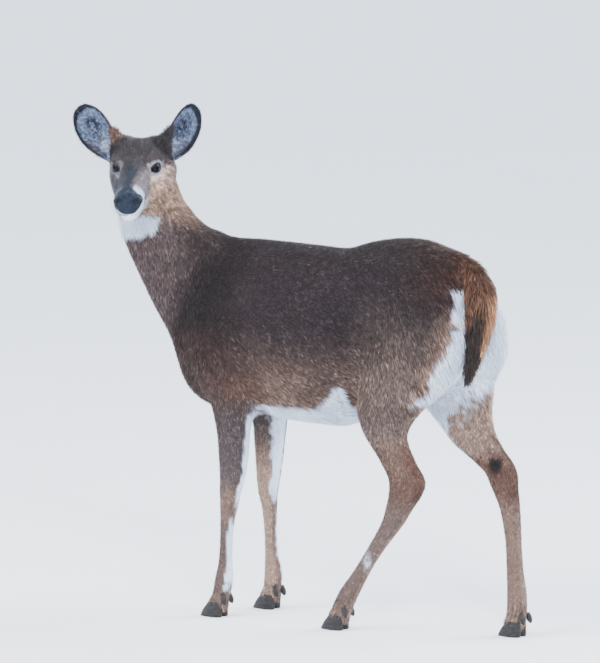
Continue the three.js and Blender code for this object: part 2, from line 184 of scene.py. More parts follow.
HIND_LEFT_ROWS = [
    [14, 350, -74, 20, 16, 16, 2.2],
    [30, 348, -74, 27, 21, 21, 2.2],
    [55, 358, -74, 27, 20, 20, 2.2],
    [92, 377, -74, 28, 20, 20, 2.2],
    [152, 417, -74, 23, 17, 17, 2.2],
    [198, 449, -74, 24, 17, 17, 2.2],
    [264, 497, -75, 31, 19, 19, 2.2],
    [300, 516, -76, 37, 21, 21, 2.2],
    [340, 535, -77, 46, 24, 24, 2.2],
    [372, 538, -78, 51, 25, 25, 2.1],
    [417, 512, -80, 50, 28, 28, 2.1],
    [474, 482, -82, 60, 38, 38, 2.1],
    [530, 490, -80, 88, 50, 50, 2.1],
    [600, 526, -70, 118, 60, 60, 2.1],
    [680, 556, -62, 132, 66, 66, 2.1],
    [770, 566, -54, 118, 62, 62, 2],
    [845, 562, -38, 70, 36, 36, 2],
    [895, 560, -26, 26, 12, 12, 2],
]
HIND_RIGHT_ROWS = [
    [14, 742, 78, 20, 16, 16, 2.2],
    [30, 738, 78, 26, 21, 21, 2.2],
    [55, 744, 78, 26, 20, 20, 2.2],
    [100, 744, 78, 26, 20, 20, 2.2],
    [152, 739, 78, 23, 17, 17, 2.2],
    [223, 734, 78, 22, 17, 17, 2.2],
    [283, 727, 78, 26, 19, 19, 2.2],
    [311, 721, 78, 29, 21, 21, 2.2],
    [347, 710, 78, 36, 24, 24, 2.2],
    [381, 699, 78, 45, 25, 25, 2.1],
    [407, 676, 78, 56, 27, 27, 2.1],
    [440, 637, 78, 67, 32, 32, 2.1],
    [480, 606, 78, 74, 40, 40, 2.1],
    [535, 580, 76, 94, 50, 50, 2.1],
    [600, 574, 70, 106, 60, 60, 2.1],
    [680, 592, 62, 123, 66, 66, 2.1],
    [770, 586, 54, 116, 62, 62, 2],
    [845, 566, 38, 70, 36, 36, 2],
    [895, 560, 26, 26, 12, 12, 2],
]
HEAD_ROWS = [
    [-38, 0, -10, 28, 28, 32, 2],
    [-22, 0, -8, 50, 52, 58, 2.1],
    [10, 0, -4, 64, 68, 76, 2.3],
    [45, 0, -4, 72, 76, 88, 2.3],
    [75, 0, -6, 66, 72, 90, 2.3],
    [98, 0, -8, 51, 62, 85, 2.2],
    [114, 0, -10, 40, 54, 78, 2.2],
    [135, 0, -13, 38, 47, 70, 2.2],
    [160, 0, -17, 36, 40, 61, 2.3],
    [190, 0, -20, 35, 34, 53, 2.4],
    [220, 0, -23, 36, 30, 48, 2.4],
    [246, 0, -25, 36, 27, 44, 2.3],
    [262, 0, -26, 31, 23, 36, 2.2],
    [268, 0, -28, 20, 14, 20, 2],
]
TAIL_ROWS = [
    [-22, 0, -8, 18, 12, 10, 2],
    [4, 0, 6, 36, 26, 24, 2],
    [45, 0, 17, 48, 32, 30, 2],
    [100, -3, 19, 50, 31, 30, 2],
    [150, -9, 16, 45, 26, 28, 2],
    [200, -17, 10, 33, 20, 22, 2],
    [245, -28, 3, 16, 12, 13, 2],
    [268, -34, 0, 5, 4, 4, 2],
]

# %% [markdown]
# ## From sections to a distance
# A mesh of lofts would meet in hard creases. So each loft becomes a function that tells how far a point is
# outside it. Such functions can be blended like clay: where two are nearly equal, a smooth minimum fills
# the corner between them. The coat's depth is taken off each loft here, which leaves the bare skin.


# %% One loft as a function
def fade(value, start, end):
    """Smoothstep: 0 before start, 1 after end, and 3s² - 2s³ between, which leaves both ends level."""
    s = np.clip((value - start) / (end - start), 0, 1)
    return s * s * (3 - 2 * s)


def smooth_min(a, b, reach):
    """The smaller of two distances, less reach·h²/4. h falls from 1 to 0 as they grow reach apart."""
    h = np.maximum(reach - np.abs(a - b), 0) / reach
    return np.minimum(a, b) - h * h * reach / 4


def smooth_max(a, b, reach):
    """The smooth minimum turned round: it rounds off the edge where two solids are cut by each other."""
    return -smooth_min(-a, -b, reach)


def through_rows(rows, t):
    """Cubic Hermite curves through the rows. Each column leaves a row with its neighbours' mean slope."""
    place = rows[:, 0]
    slope = np.empty_like(rows)
    slope[1:-1] = (rows[2:] - rows[:-2]) / (place[2:] - place[:-2])[:, None]
    slope[0] = (rows[1] - rows[0]) / (place[1] - place[0])
    slope[-1] = (rows[-1] - rows[-2]) / (place[-1] - place[-2])
    i = np.clip(np.searchsorted(place, t, side="right") - 1, 0, len(place) - 2)
    h = (place[i + 1] - place[i])[:, None]
    s = ((t - place[i]) / h[:, 0])[:, None]
    start = (1 + 2 * s) * (1 - s) ** 2 * rows[i] + s * (1 - s) ** 2 * h * slope[i]
    return start + s * s * (3 - 2 * s) * rows[i + 1] + s * s * (s - 1) * h * slope[i + 1]


UPRIGHT = ((0, 0, 1), (1, 0, 0), (0, 1, 0))  # along, to the side and up, for what stands on the ground
LENGTHWISE = ((1, 0, 0), (0, 1, 0), (0, 0, 1))
FINE_ROWS = 601  # how many rows of each loft are worked out once, to look values up in


class Loft:
    """Oval sections along a straight axis, and how deep the coat lies on them at each place."""

    def __init__(self, rows, depth, origin=(0, 0, 0), axes=UPRIGHT):
        """rows are as above. depth pairs a place along the axis with the coat's depth there, in mm."""
        table = np.array(rows, float)
        table[:, :6] *= MM
        self.start, self.end = table[0, 0], table[-1, 0]
        self.t = np.linspace(self.start, self.end, FINE_ROWS)
        self.columns = through_rows(table, self.t)
        self.depth = np.interp(self.t, *(np.array(depth, float).T * MM))
        self.origin, self.axes = np.array(origin, float), np.array(axes, float)

    def local(self, points):
        """A point as its place along the axis, to the side and up."""
        return ((points - self.origin) @ self.axes.T).T

    def at(self, t, column):
        """One column of the table at the places t, read between the rows worked out before."""
        return np.interp(t, self.t, self.columns[:, column])

    def section(self, t, side, up):
        """How far a point is outside the section at t: its distance from the centre, less the oval's own
        radius that way, which is that distance over |side/half|^n + |up/height|^n to the power 1/n."""
        s, u = side - self.at(t, 1), up - self.at(t, 2)
        half = self.at(t, 3)
        height = np.where(u > 0, self.at(t, 4), self.at(t, 5))
        power = self.at(t, 6)
        share = ((np.abs(s) / half) ** power + (np.abs(u) / height) ** power) ** (1 / power)
        far = np.hypot(s, u)
        radius = np.where(share > 0.05, far / np.maximum(share, 0.05), np.minimum(half, height))
        return far - radius

    def reach(self, points):
        """The section's reach, made a true distance where the loft tapers by dividing by the length of
        (1, slope), plus the coat's depth, and closed by a rounded cap at both ends."""
        t, side, up = self.local(points)
        inside = np.clip(t, self.start, self.end)
        step = 2 * MM
        here = self.section(inside, side, up)
        slope = (self.section(np.clip(inside + step, self.start, self.end), side, up) - here) / step
        depth = np.interp(inside, self.t, self.depth)
        reach = here / np.sqrt(1 + slope * slope) + depth
        ends = np.maximum(self.start - t, t - self.end) + depth
        return smooth_max(reach, ends, 8 * MM)


# %% The eight lofts
# how deep the coat lies: the place along each part's axis, then the depth there, in mm
TRUNK_DEPTH = [[-120, 8], [560, 9], [690, 13]]
NECK_DEPTH = [[500, 8], [930, 8], [1000, 6], [1100, 4]]
HEAD_DEPTH = [[-40, 4], [60, 4], [110, 2.2], [268, 1.2]]
LEG_DEPTH = [[0, 1], [60, 2.5], [400, 3], [560, 8], [900, 10]]
TAIL_DEPTH = [[-22, 14], [8, 16], [30, 9], [60, 7], [150, 8], [200, 11], [268, 2]]

TAIL_ALONG = np.array([0.09, -0.1, -1.0])
TAIL_ALONG /= np.linalg.norm(TAIL_ALONG)
TAIL_UP = np.cross(TAIL_ALONG, (0, 1, 0))
TAIL_UP /= np.linalg.norm(TAIL_UP)
TAIL_AXES = (TAIL_ALONG, np.cross(TAIL_UP, TAIL_ALONG), TAIL_UP)
TAIL_ORIGIN = np.array([670, -4, 868]) * MM

LOFTS = {
    "trunk": Loft(TRUNK_ROWS, TRUNK_DEPTH, axes=LENGTHWISE),
    "neck": Loft(NECK_ROWS, NECK_DEPTH),
    "head": Loft(HEAD_ROWS, HEAD_DEPTH, HEAD_ORIGIN, HEAD_AXES),
    "front_left": Loft(FRONT_LEFT_ROWS, LEG_DEPTH),
    "front_right": Loft(FRONT_RIGHT_ROWS, LEG_DEPTH),
    "hind_left": Loft(HIND_LEFT_ROWS, LEG_DEPTH),
    "hind_right": Loft(HIND_RIGHT_ROWS, LEG_DEPTH),
    "tail": Loft(TAIL_ROWS, TAIL_DEPTH, TAIL_ORIGIN, TAIL_AXES),
}
PARTS = list(LOFTS)
LEGS = PARTS[3:7]
print("lofts:", ", ".join(PARTS))


# %% [markdown]
# ## One skin
# The field below joins all the lofts, then adds what a loft can't say: the swelling that each ear stands
# on, the brows, the bowls that hold the eyes, the nostrils and the line of the mouth, the folds at the
# elbow and the flank. Below zero is inside the animal.


# %% The shape of the whole body
GAZE_TURN, GAZE_LIFT = np.radians(47), np.radians(5)
GAZE = np.array([
    np.cos(GAZE_TURN) * np.cos(GAZE_LIFT),
    np.sin(GAZE_TURN) * np.cos(GAZE_LIFT),
    np.sin(GAZE_LIFT),
])  # fmt: skip
TO_OUTER_CORNER = np.array([-np.sin(GAZE_TURN), np.cos(GAZE_TURN), 0])
JOINT_REACH = {"neck": 60, "front": 40, "hind": 34, "tail": 12, "head": 26}  # how far flesh fills in, mm


def ball(points, centre, radius):
    """Distance to a ball: the distance to its centre less its radius."""
    return np.linalg.norm(points - np.asarray(centre) * MM, axis=1) - radius * MM


def near_path(points, path):
    """The distance to a line of straight stretches: the least of the distances to each stretch."""
    path = np.array(path, float) * MM
    best = np.full(len(points), 9.0)
    for a, b in zip(path[:-1], path[1:]):
        share = np.clip((points - a) @ (b - a) / ((b - a) @ (b - a)), 0, 1)
        best = np.minimum(best, np.linalg.norm(points - a - share[:, None] * (b - a), axis=1))
    return best


def swell(distance, width, height):
    """A bell: height·exp(-(distance/width)²)."""
    return height * MM * np.exp(-((distance / (width * MM)) ** 2))


MOUTH = [(266, 0, -56), (262, 17, -56), (248, 29, -57), (222, 33, -57), (196, 33, -53)]
EAR_ROOT = {  # from the crown up the inner rim of each ear: along, side, up and radius in mm
    1: [(14, 42, 37, 23), (28, 56, 56, 14), (18, 68, 77, 7.5), (6, 75, 93, 3)],
    -1: [(14, -40, 36, 23), (28, -46, 54, 14), (16, -60, 75, 7), (6, -72, 89, 3)],
}


def to_half_head(points):
    """Head coordinates with its right half folded onto its left, for what is the same on both."""
    own = to_head(points)
    own[:, 1] = np.abs(own[:, 1])
    return own


def head_reach(points):
    """The face joined with the mounds that the ears stand on, less a bowl for each eye."""
    reach = face_reach(points)
    own = to_head(points)
    for path in EAR_ROOT.values():
        for a, b in zip(path[:-1], path[1:]):
            reach = smooth_min(reach, cone(own, a, b), 14 * MM)
    own = to_half_head(points)
    reach = smooth_min(reach, ball(own, (8, 37, 32), 30), 22 * MM)
    return smooth_max(reach, -ball(own, EYE_CENTRE[1] / MM + 8 * GAZE, 15.2), 2 * MM)


def face_reach(points):
    """The head's loft with the brows, the chin and a bulge over each eyeball, and no bowl for the eye."""
    reach = LOFTS["head"].reach(points)
    own = to_half_head(points)
    reach = smooth_min(reach, ball(own, (80, 38, 23), 22.5), 12 * MM)
    reach = smooth_min(reach, ball(own, (241, 0, -63), 12), 14 * MM)
    return smooth_min(reach, ball(own, EYE_CENTRE[1] / MM, 19.2), 9 * MM)


def cone(points, a, b):
    """The distance to a cone with round ends, from a to b, whose fourth number is the radius there."""
    a, b = np.array(a, float) * MM, np.array(b, float) * MM
    way = b[:3] - a[:3]
    share = np.clip((points - a[:3]) @ way / (way @ way), 0, 1)
    return np.linalg.norm(points - a[:3] - share[:, None] * way, axis=1) - a[3] - share * (b[3] - a[3])


def fine_relief(points):
    """What is too small for the first mesh: dents and ridges a few millimetres high, in metres outwards."""
    own = to_half_head(points)
    height = -swell(near_path(own, MOUTH), 2.2, 2.6)
    height -= swell(np.linalg.norm((own - np.array((262, 21, -22)) * MM) * (0.75, 1, 1.25), axis=1), 6, 6.5)
    height += swell(near_path(own, [(250, 32, -26), (259, 31, -20), (264, 24, -13)]), 4.5, 2.2)
    height -= swell(near_path(own, [(268, 0, -10), (272, 0, -44)]), 2.0, 1.2)
    height -= swell(near_path(own, [(120, 37, 9), (140, 34, -3)]), 3.0, 2.0)
    height -= swell(near_path(own, [(60, 62, 6), (84, 60, -8)]), 12, 2.0)
    flat = points * (1, -1, 1)
    mirrored = np.where(points[:, 1:2] < 0, flat, points)
    height -= swell(near_path(mirrored, [(365, 118, 740), (375, 116, 660), (358, 108, 560)]), 20, 2.6)
    height -= swell(near_path(mirrored, [(102, 104, 560), (108, 112, 640), (96, 114, 720)]), 20, 3.5)
    height -= swell(near_path(mirrored, [(-62, 92, 560), (-90, 84, 700)]), 24, 3.5)
    return height


def part_reaches(points):
    """How far each point is outside each part, one column a part."""
    columns = [head_reach(points) if name == "head" else LOFTS[name].reach(points) for name in PARTS]
    return np.stack(columns, axis=1)


def body_reach(points, fine=True):
    """The smooth minimum of all parts. The wider the reach of a joint, the more flesh fills its corner. A
    bell 10 mm high fills the croup in front of the tail."""
    parts = dict(zip(PARTS, part_reaches(points).T))
    whole = smooth_min(parts["trunk"], parts["neck"], JOINT_REACH["neck"] * MM)
    for name in LEGS:
        whole = smooth_min(whole, parts[name], JOINT_REACH[name.split("_")[0]] * MM)
    root = fade(points[:, 2], 0.80, 0.86)
    x, y, z = (points / MM).T
    whole -= 10 * MM * np.exp(-(((x - 626) / 30) ** 2) - (y / 60) ** 2) * fade(z, 820, 860)
    whole = smooth_min(whole, parts["tail"], (JOINT_REACH["tail"] + 34 * root) * MM)
    whole = smooth_min(whole, parts["head"], JOINT_REACH["head"] * MM)
    return whole - fine_relief(points) if fine else whole


# %% [markdown]
# ## A mesh from the field
# Surface nets lay one vertex in every cell of a grid that the surface crosses, and one quad round every
# grid edge that it crosses. That is even and closed. The head needs smaller faces than the flank, so its
# faces are split again, and then every vertex is moved onto the surface along the field's slope.


# %% Surface nets
def surface_net(values, corner, step):
    """values is the field on a grid. A cell's vertex is the mean of the crossings on its edges, each found
    by a straight line between the two values. Quads turn so that they face outwards."""
    shape = np.array(values.shape)
    strides = np.array([shape[1] * shape[2], shape[2], 1])
    total = int(shape.prod())
    count, sums = np.zeros(total), np.zeros((3, total))
    quads = []
    for axis in range(3):
        first = np.moveaxis(values, axis, 0)[:-1]
        second = np.moveaxis(values, axis, 0)[1:]
        found = np.array(np.nonzero((first < 0) != (second < 0)))
        a, b = first[tuple(found)], second[tuple(found)]
        order = [axis] + [k for k in range(3) if k != axis]
        cell = np.empty_like(found)
        cell[order] = found
        place = cell.astype(float)
        place[axis] += a / (a - b)
        base = strides @ cell
        u, v = strides[(axis + 1) % 3], strides[(axis + 2) % 3]
        around = np.stack([base, base - u, base - u - v, base - v], axis=1)
        for ids in around.T:
            count += np.bincount(ids, minlength=total)
            for k in range(3):
                sums[k] += np.bincount(ids, weights=place[k], minlength=total)
        quads.append(np.where((a < 0)[:, None], around, around[:, ::-1]))
    used = np.nonzero(count)[0]
    number = np.full(total, -1)
    number[used] = np.arange(len(used))
    vertices = corner + (sums[:, used] / count[used]).T * step
    return vertices, number[np.concatenate(quads)]


STEP = 7 * MM
GRID_LOW = np.array([-0.400, -0.345, -0.010])
GRID_HIGH = np.array([0.780, 0.130, 1.190])
ticks = [np.arange(low, high, STEP) for low, high in zip(GRID_LOW, GRID_HIGH)]
nodes = np.stack(np.meshgrid(*ticks, indexing="ij"), axis=-1).reshape(-1, 3)
COARSE = 4  # every fourth node first, to find where the surface is


def near_surface(nodes, shape):
    """A mask of the nodes worth working out: the field on every fourth node, spread to its neighbours."""
    grid = nodes.reshape(*shape, 3)[::COARSE, ::COARSE, ::COARSE]
    rough = body_reach(grid.reshape(-1, 3), fine=False).reshape(grid.shape[:3])
    near = np.abs(rough) < 1.25 * COARSE * STEP
    wide = near.repeat(COARSE, 0).repeat(COARSE, 1).repeat(COARSE, 2)
    sign = rough.repeat(COARSE, 0).repeat(COARSE, 1).repeat(COARSE, 2)
    cut = tuple(slice(0, n) for n in shape)
    return wide[cut].ravel(), sign[cut].ravel()


shape = tuple(len(t) for t in ticks)
near, values = near_surface(nodes, shape)
values[near] = body_reach(nodes[near], fine=False)
skin_points, skin_quads = surface_net(values.reshape(shape), GRID_LOW, STEP)
print("first net:", len(skin_points), "points of", len(nodes), "nodes,", int(near.sum()), "worked out")


# %% Smaller faces on the head, then onto the surface
def slope_of(points, fine=True):
    """The field and its slope: how much it grows over half a millimetre along each axis."""
    step = 0.5 * MM
    here = body_reach(points, fine)
    ahead = [body_reach(points + step * axis, fine) - here for axis in np.eye(3)]
    return here, np.stack(ahead, axis=1) / step


def onto_surface(points, times=2):
    """Newton's step: back along the slope by the field over the slope's squared length, 4 mm at most."""
    for _ in range(times):
        here, slope = slope_of(points)
        move = slope * (here / np.maximum((slope**2).sum(1), 0.2))[:, None]
        far = np.linalg.norm(move, axis=1, keepdims=True)
        points = points - move * np.minimum(1, 4 * MM / np.maximum(far, 1e-9))
    return points


def read_mesh(mesh):
    """A bmesh's points, and its faces as lists."""
    mesh.verts.index_update()
    points = np.array([v.co for v in mesh.verts])
    return points, [[v.index for v in f.verts] for f in mesh.faces]


def split_where(mesh, wanted):
    """Halves every edge of the faces whose middle is wanted, and fills them in as smaller faces."""
    faces = list(mesh.faces)
    middles = np.array([f.calc_center_median() for f in faces])
    chosen = wanted(middles)
    edges = {e for f, c in zip(faces, chosen) if c for e in f.edges}
    bmesh.ops.subdivide_edges(mesh, edges=list(edges), cuts=1, use_grid_fill=True)


def relax(mesh, wanted, times):
    """Evens out the faces: each wanted vertex goes halfway to the middle of its neighbours."""
    points = np.array([v.co for v in mesh.verts])
    verts = [v for v, c in zip(mesh.verts, wanted(points)) if c]
    every_way = {"use_axis_x": True, "use_axis_y": True, "use_axis_z": True}
    for _ in range(times):
        bmesh.ops.smooth_vert(mesh, verts=verts, factor=0.5, **every_way)


def on_head(points):
    """The head and the top of the neck, within a box in the head's own directions."""
    own = to_head(points) / MM
    return (own[:, 0] > -45) & (own[:, 2] > -100) & (np.abs(own[:, 1]) < 90)


def on_face(points):
    """The muzzle and the surroundings of both eyes, which carry the smallest folds."""
    own = to_head(points) / MM
    muzzle = own[:, 0] > 188
    eye = np.linalg.norm(np.abs(own) - np.abs(EYE_CENTRE[1] / MM), axis=1) < 36
    return on_head(points) & (muzzle | eye)


def write_back(mesh, points):
    """Puts a bmesh's vertices at points, in the same order."""
    for vertex, place in zip(mesh.verts, points):
        vertex.co = place


skin_mesh = bmesh.new()
for p in onto_surface(skin_points):
    skin_mesh.verts.new(p)
skin_mesh.verts.ensure_lookup_table()
for quad in skin_quads.tolist():
    skin_mesh.faces.new([skin_mesh.verts[i] for i in quad])
for zone in (on_head, on_face):
    split_where(skin_mesh, zone)
    relax(skin_mesh, on_head, 2)
    write_back(skin_mesh, onto_surface(np.array([v.co for v in skin_mesh.verts])))
bmesh.ops.triangulate(skin_mesh, faces=skin_mesh.faces[:])
body_points, body_faces = read_mesh(skin_mesh)
body_faces = np.array(body_faces)
skin_mesh.free()
print("skin of the body:", len(body_points), "points,", len(body_faces), "triangles")

# %% [markdown]
# ## Where each hair belongs
# The lie of the coat, its length and its colour all change from part to part. A point belongs to each part
# by exp(-distance/12 mm), shared out so that the parts add up to one, so nothing changes with a step.


# %% Shares, noise and small helpers
MIXING = 12 * MM  # how far the hair of two parts mixes
PRIMES = (73856093, 19349663, 83492791)  # to hash a lattice corner's three numbers


def shares(reaches):
    """exp(-reach/12 mm) of every part, divided by their sum."""
    power = np.exp(-(reaches - reaches.min(axis=1, keepdims=True)) / MIXING)
    return power / power.sum(axis=1, keepdims=True)


def unit(vectors):
    """Each vector over its own length."""
    return vectors / np.maximum(np.linalg.norm(vectors, axis=-1, keepdims=True), 1e-12)


def noise(points, size, seed=0):
    """Value noise from 0 to 1: a random number at every corner of a lattice size mm wide, blended with
    smoothsteps over the eight corners round the point."""
    place = points / (size * MM) + 31.7 * (seed + 1)
    low = np.floor(place).astype(np.int64)
    s = place - low
    s = s * s * (3 - 2 * s)
    total = np.zeros(len(points))
    for corner in np.ndindex(2, 2, 2):
        x, y, z = (low + corner).T
        mixed = (x * PRIMES[0]) ^ (y * PRIMES[1]) ^ (z * PRIMES[2]) ^ (seed * 2654435761)
        mixed = (mixed ^ (mixed >> 13)) * 1274126177
        value = ((mixed ^ (mixed >> 16)) & 0xFFFF) / 65535
        total += value * np.prod(np.where(corner, s, 1 - s), axis=1)
    return total


def paint(*rgb):
    """A colour as a screen shows it, 0 to 255, made linear for the shader."""
    value = np.array(rgb) / 255
    return np.where(value < 0.04045, value / 12.92, ((value + 0.055) / 1.055) ** 2.4)


def plain(colour, count):
    """The same colour count times, one row a point."""
    return np.tile(colour, (count, 1))


def over(base, colour, share):
    """Paints a colour over another where share is 1."""
    return base + (colour - base) * np.clip(share, 0, 1)[:, None]


def about(points, centre, width):
    """A soft spot: exp(-(distance/width)²), where width may differ along x, y and z, in mm."""
    return np.exp(-((((points / MM) - centre) / np.asarray(width, float)) ** 2).sum(axis=1))


# %% [markdown]
# ## Markings
# In winter the coat is grey brown, since each hair has a pale band under a dark tip. The belly, the insides
# of the legs, the rump beside the tail, the throat and the ring behind the nose are white. One function
# paints the skin and the tufts alike, so that where a tuft parts, the skin below has its colour.

# %% Coat colours
BACK = paint(50, 44, 45)
FLANK = paint(46, 37, 40)
SHOULDER = paint(34, 27, 29)
LOW_FLANK = paint(122, 99, 88)
HAUNCH = paint(100, 84, 77)
THIGH = paint(92, 76, 71)
RUST = paint(64, 38, 28)
# white hair; its blue tint is painted light, the blue of the overcast sky
WHITE = paint(220, 231, 250)
NECK = paint(81, 67, 66)
NAPE = paint(50, 40, 38)
TAN = paint(108, 86, 76)
LEG_BROWN = paint(72, 62, 62)
PALE_TAN = paint(148, 122, 108)
FRINGE = paint(146, 112, 96)
NOSE_BLUE = paint(13, 24, 38)
# the head's right side, turned from the light: partly darker fur, partly painted shade
SHADED_FAR_FACE = paint(34, 39, 51)
FOREHEAD = paint(45, 38, 40)
CROWN = paint(26, 22, 24)
BRIDGE = paint(22, 28, 38)
CHEEK = paint(192, 154, 132)
CHEEK_BROWN = paint(112, 92, 82)
EYE_RING = paint(128, 126, 136)
RUST_PALE = paint(100, 73, 62)
MUZZLE = paint(84, 81, 91)
BLACK = paint(19, 18, 21)
TAIL_BROWN = paint(86, 58, 42)
TAIL_GOLD = paint(160, 114, 82)
TAIL_DARK = paint(26, 19, 20)
EAR_PALE = paint(128, 144, 176)
EAR_DARK = paint(44, 44, 60)

# where the brown of the haunch ends and the white of the rump begins: height, then x, in mm
RUMP_EDGE = np.array([
    [500, 540], [550, 562], [572, 578], [596, 611], [634, 615], [664, 640],
    [690, 657], [754, 670], [782, 660], [809, 653], [828, 650], [840, 705],
])  # fmt: skip
# where the bare pad of the nose begins: the angle up round the muzzle in degrees, then along it in mm
NOSE_EDGE = np.array([
    [-90, 258], [-45, 252], [-20, 247], [0, 243], [25, 246],
    [42, 254], [58, 258], [72, 254], [82, 245], [90, 238],
])  # fmt: skip
TARSAL_SPOT = {"hind_right": (697, 52, 402), "hind_left": (532, -55, 385)}
METATARSAL_SPOT = {"hind_right": (738, 95, 190), "hind_left": (436, -91, 172)}


def rump_white(points):
    """The share of white behind RUMP_EDGE, down to where the hind legs' own white begins."""
    x, y, z = (points / MM).T
    edge = np.interp(z, RUMP_EDGE[:, 0], RUMP_EDGE[:, 1])
    ends = np.where(y < -20, 563, 590)
    wander = 22 * (noise(points, 14, 3) - 0.5)
    return fade(x - edge + wander, -6, 6) * fade(z + wander, ends - 8, ends + 14)


def torso_colour(points):
    """The trunk, the foot of the neck and the thighs: dark above, with painted shade in two folds at the
    flank, warmer and paler low on the flank and the haunch, white below a line at the belly."""
    x, y, z = (points / MM).T
    y = np.abs(y)
    wander = 50 * (noise(points, 70, 1) - 0.5)
    colour = over(plain(FLANK, len(points)), BACK, 0.7 * fade(z, 850, 900) * fade(x, 60, 200))
    colour = over(colour, SHOULDER, fade(x, 110, 10) * fade(z + wander, 600, 720) * fade(z, 920, 840))
    low = np.clip((722 - z + 0.5 * wander) / 190, 0, 1) ** 1.75 * (0.3 + 0.7 * fade(x, 40, 170))
    colour = over(colour, LOW_FLANK, low)
    colour = over(colour, RUST, 0.3 * fade(x, 190, 40) * fade(z + wander, 760, 620))
    haunch = np.clip((800 - z + wander) / 170, 0, 1) * fade(x + 0.5 * wander, 375, 500)
    colour = over(colour, HAUNCH, haunch)
    colour = over(colour, LOW_FLANK, 0.6 * fade(x, 600, 650) * fade(z, 820, 700))
    # painted shade: the dark of the shoulder laid along two folds, in front of the thigh and low on the
    # belly
    fold_shade = near_path(np.stack([x, y, z], axis=1) * MM, [(370, 120, 745), (378, 116, 680)]) / (15 * MM)
    colour = over(colour, SHOULDER, 0.7 * np.exp(-(fold_shade**2)))
    fold_shade = near_path(np.stack([x, y, z], axis=1) * MM, [(250, 100, 540), (330, 100, 585)]) / (16 * MM)
    colour = over(colour, SHOULDER, 0.4 * np.exp(-(fold_shade**2)))
    colour = over(colour, RUST_PALE, 0.6 * np.exp(-(((x - 88) / 50) ** 2) - ((z - 552) / 36) ** 2))
    colour = over(colour, RUST, 0.75 * fade(x + wander, 480, 670) * fade(z, 740, 850))
    colour = over(colour, FRINGE, 0.6 * fringe_share(points) * fade(z, 830, 760))
    inner = fade(y, 75, 45)
    belly = 517 + 14 * (noise(points, 16, 2) - 0.5) + 66 * fade(x, 278, 366)
    thigh = x - 361
    belly += 60 * inner - 190 * (1 - inner) * fade(thigh, -6, 10)
    colour = over(colour, WHITE, fade(z, belly + 5, belly - 6) * fade(x, 92, 132))
    return over(colour, WHITE, rump_white(points))


def fringe_share(points):
    """The line of longer pale brown hair in front of the white of the rump."""
    x, _, z = (points / MM).T
    edge = np.interp(z, RUMP_EDGE[:, 0], RUMP_EDGE[:, 1])
    return fade(x, edge - 36, edge - 6) * fade(z, 500, 560) * fade(z, 800, 690)


def bib_share(points):
    """The white of the throat: a lobe about the throat's line, which turns with the head from the front of
    the neck to its left, measured by the angle round the neck's oval."""
    x, y, z = (points / MM).T
    loft = LOFTS["neck"]
    cx, cy, half, across = (loft.at(points[:, 2], k) / MM for k in (1, 2, 3, 4))
    angle = np.degrees(np.arctan2(-(y - cy) / across, -(x - cx) / half))
    middle = np.interp(z, [870, 900, 945, 1000], [36, 40, 52, 66])
    wide = np.interp(z, [894, 902, 914, 950, 990], [-20, 24, 42, 60, 80])
    white = fade(wide - np.abs(angle - middle) + 16 * (noise(points, 13, 4) - 0.5), -4, 5)
    return white * np.maximum(fade(z, 956, 946), fade(x, -190, -225))


def neck_colour(points):
    """Grey brown, darker at the nape, with the white bib of the throat; below it goes over to the torso."""
    x, _, z = (points / MM).T
    centre, half = LOFTS["neck"].at(points[:, 2], 1) / MM, LOFTS["neck"].at(points[:, 2], 3) / MM
    fore = (x - centre) / half
    wander = 60 * (noise(points, 60, 9) - 0.5)
    colour = over(plain(NECK, len(points)), NAPE, 0.85 * fade(fore + wander / 200, 0.2, 0.8))
    below = fade(x + wander - 0.5 * (z - 760), -165, -50) * fade(z, 900, 820)
    colour = over(colour, torso_colour(points), below)
    colour = over(colour, CHEEK, 0.6 * fade(z + 0.4 * wander, 912, 994) * fade(z, 1095, 1055))
    return over(colour, WHITE, bib_share(points))


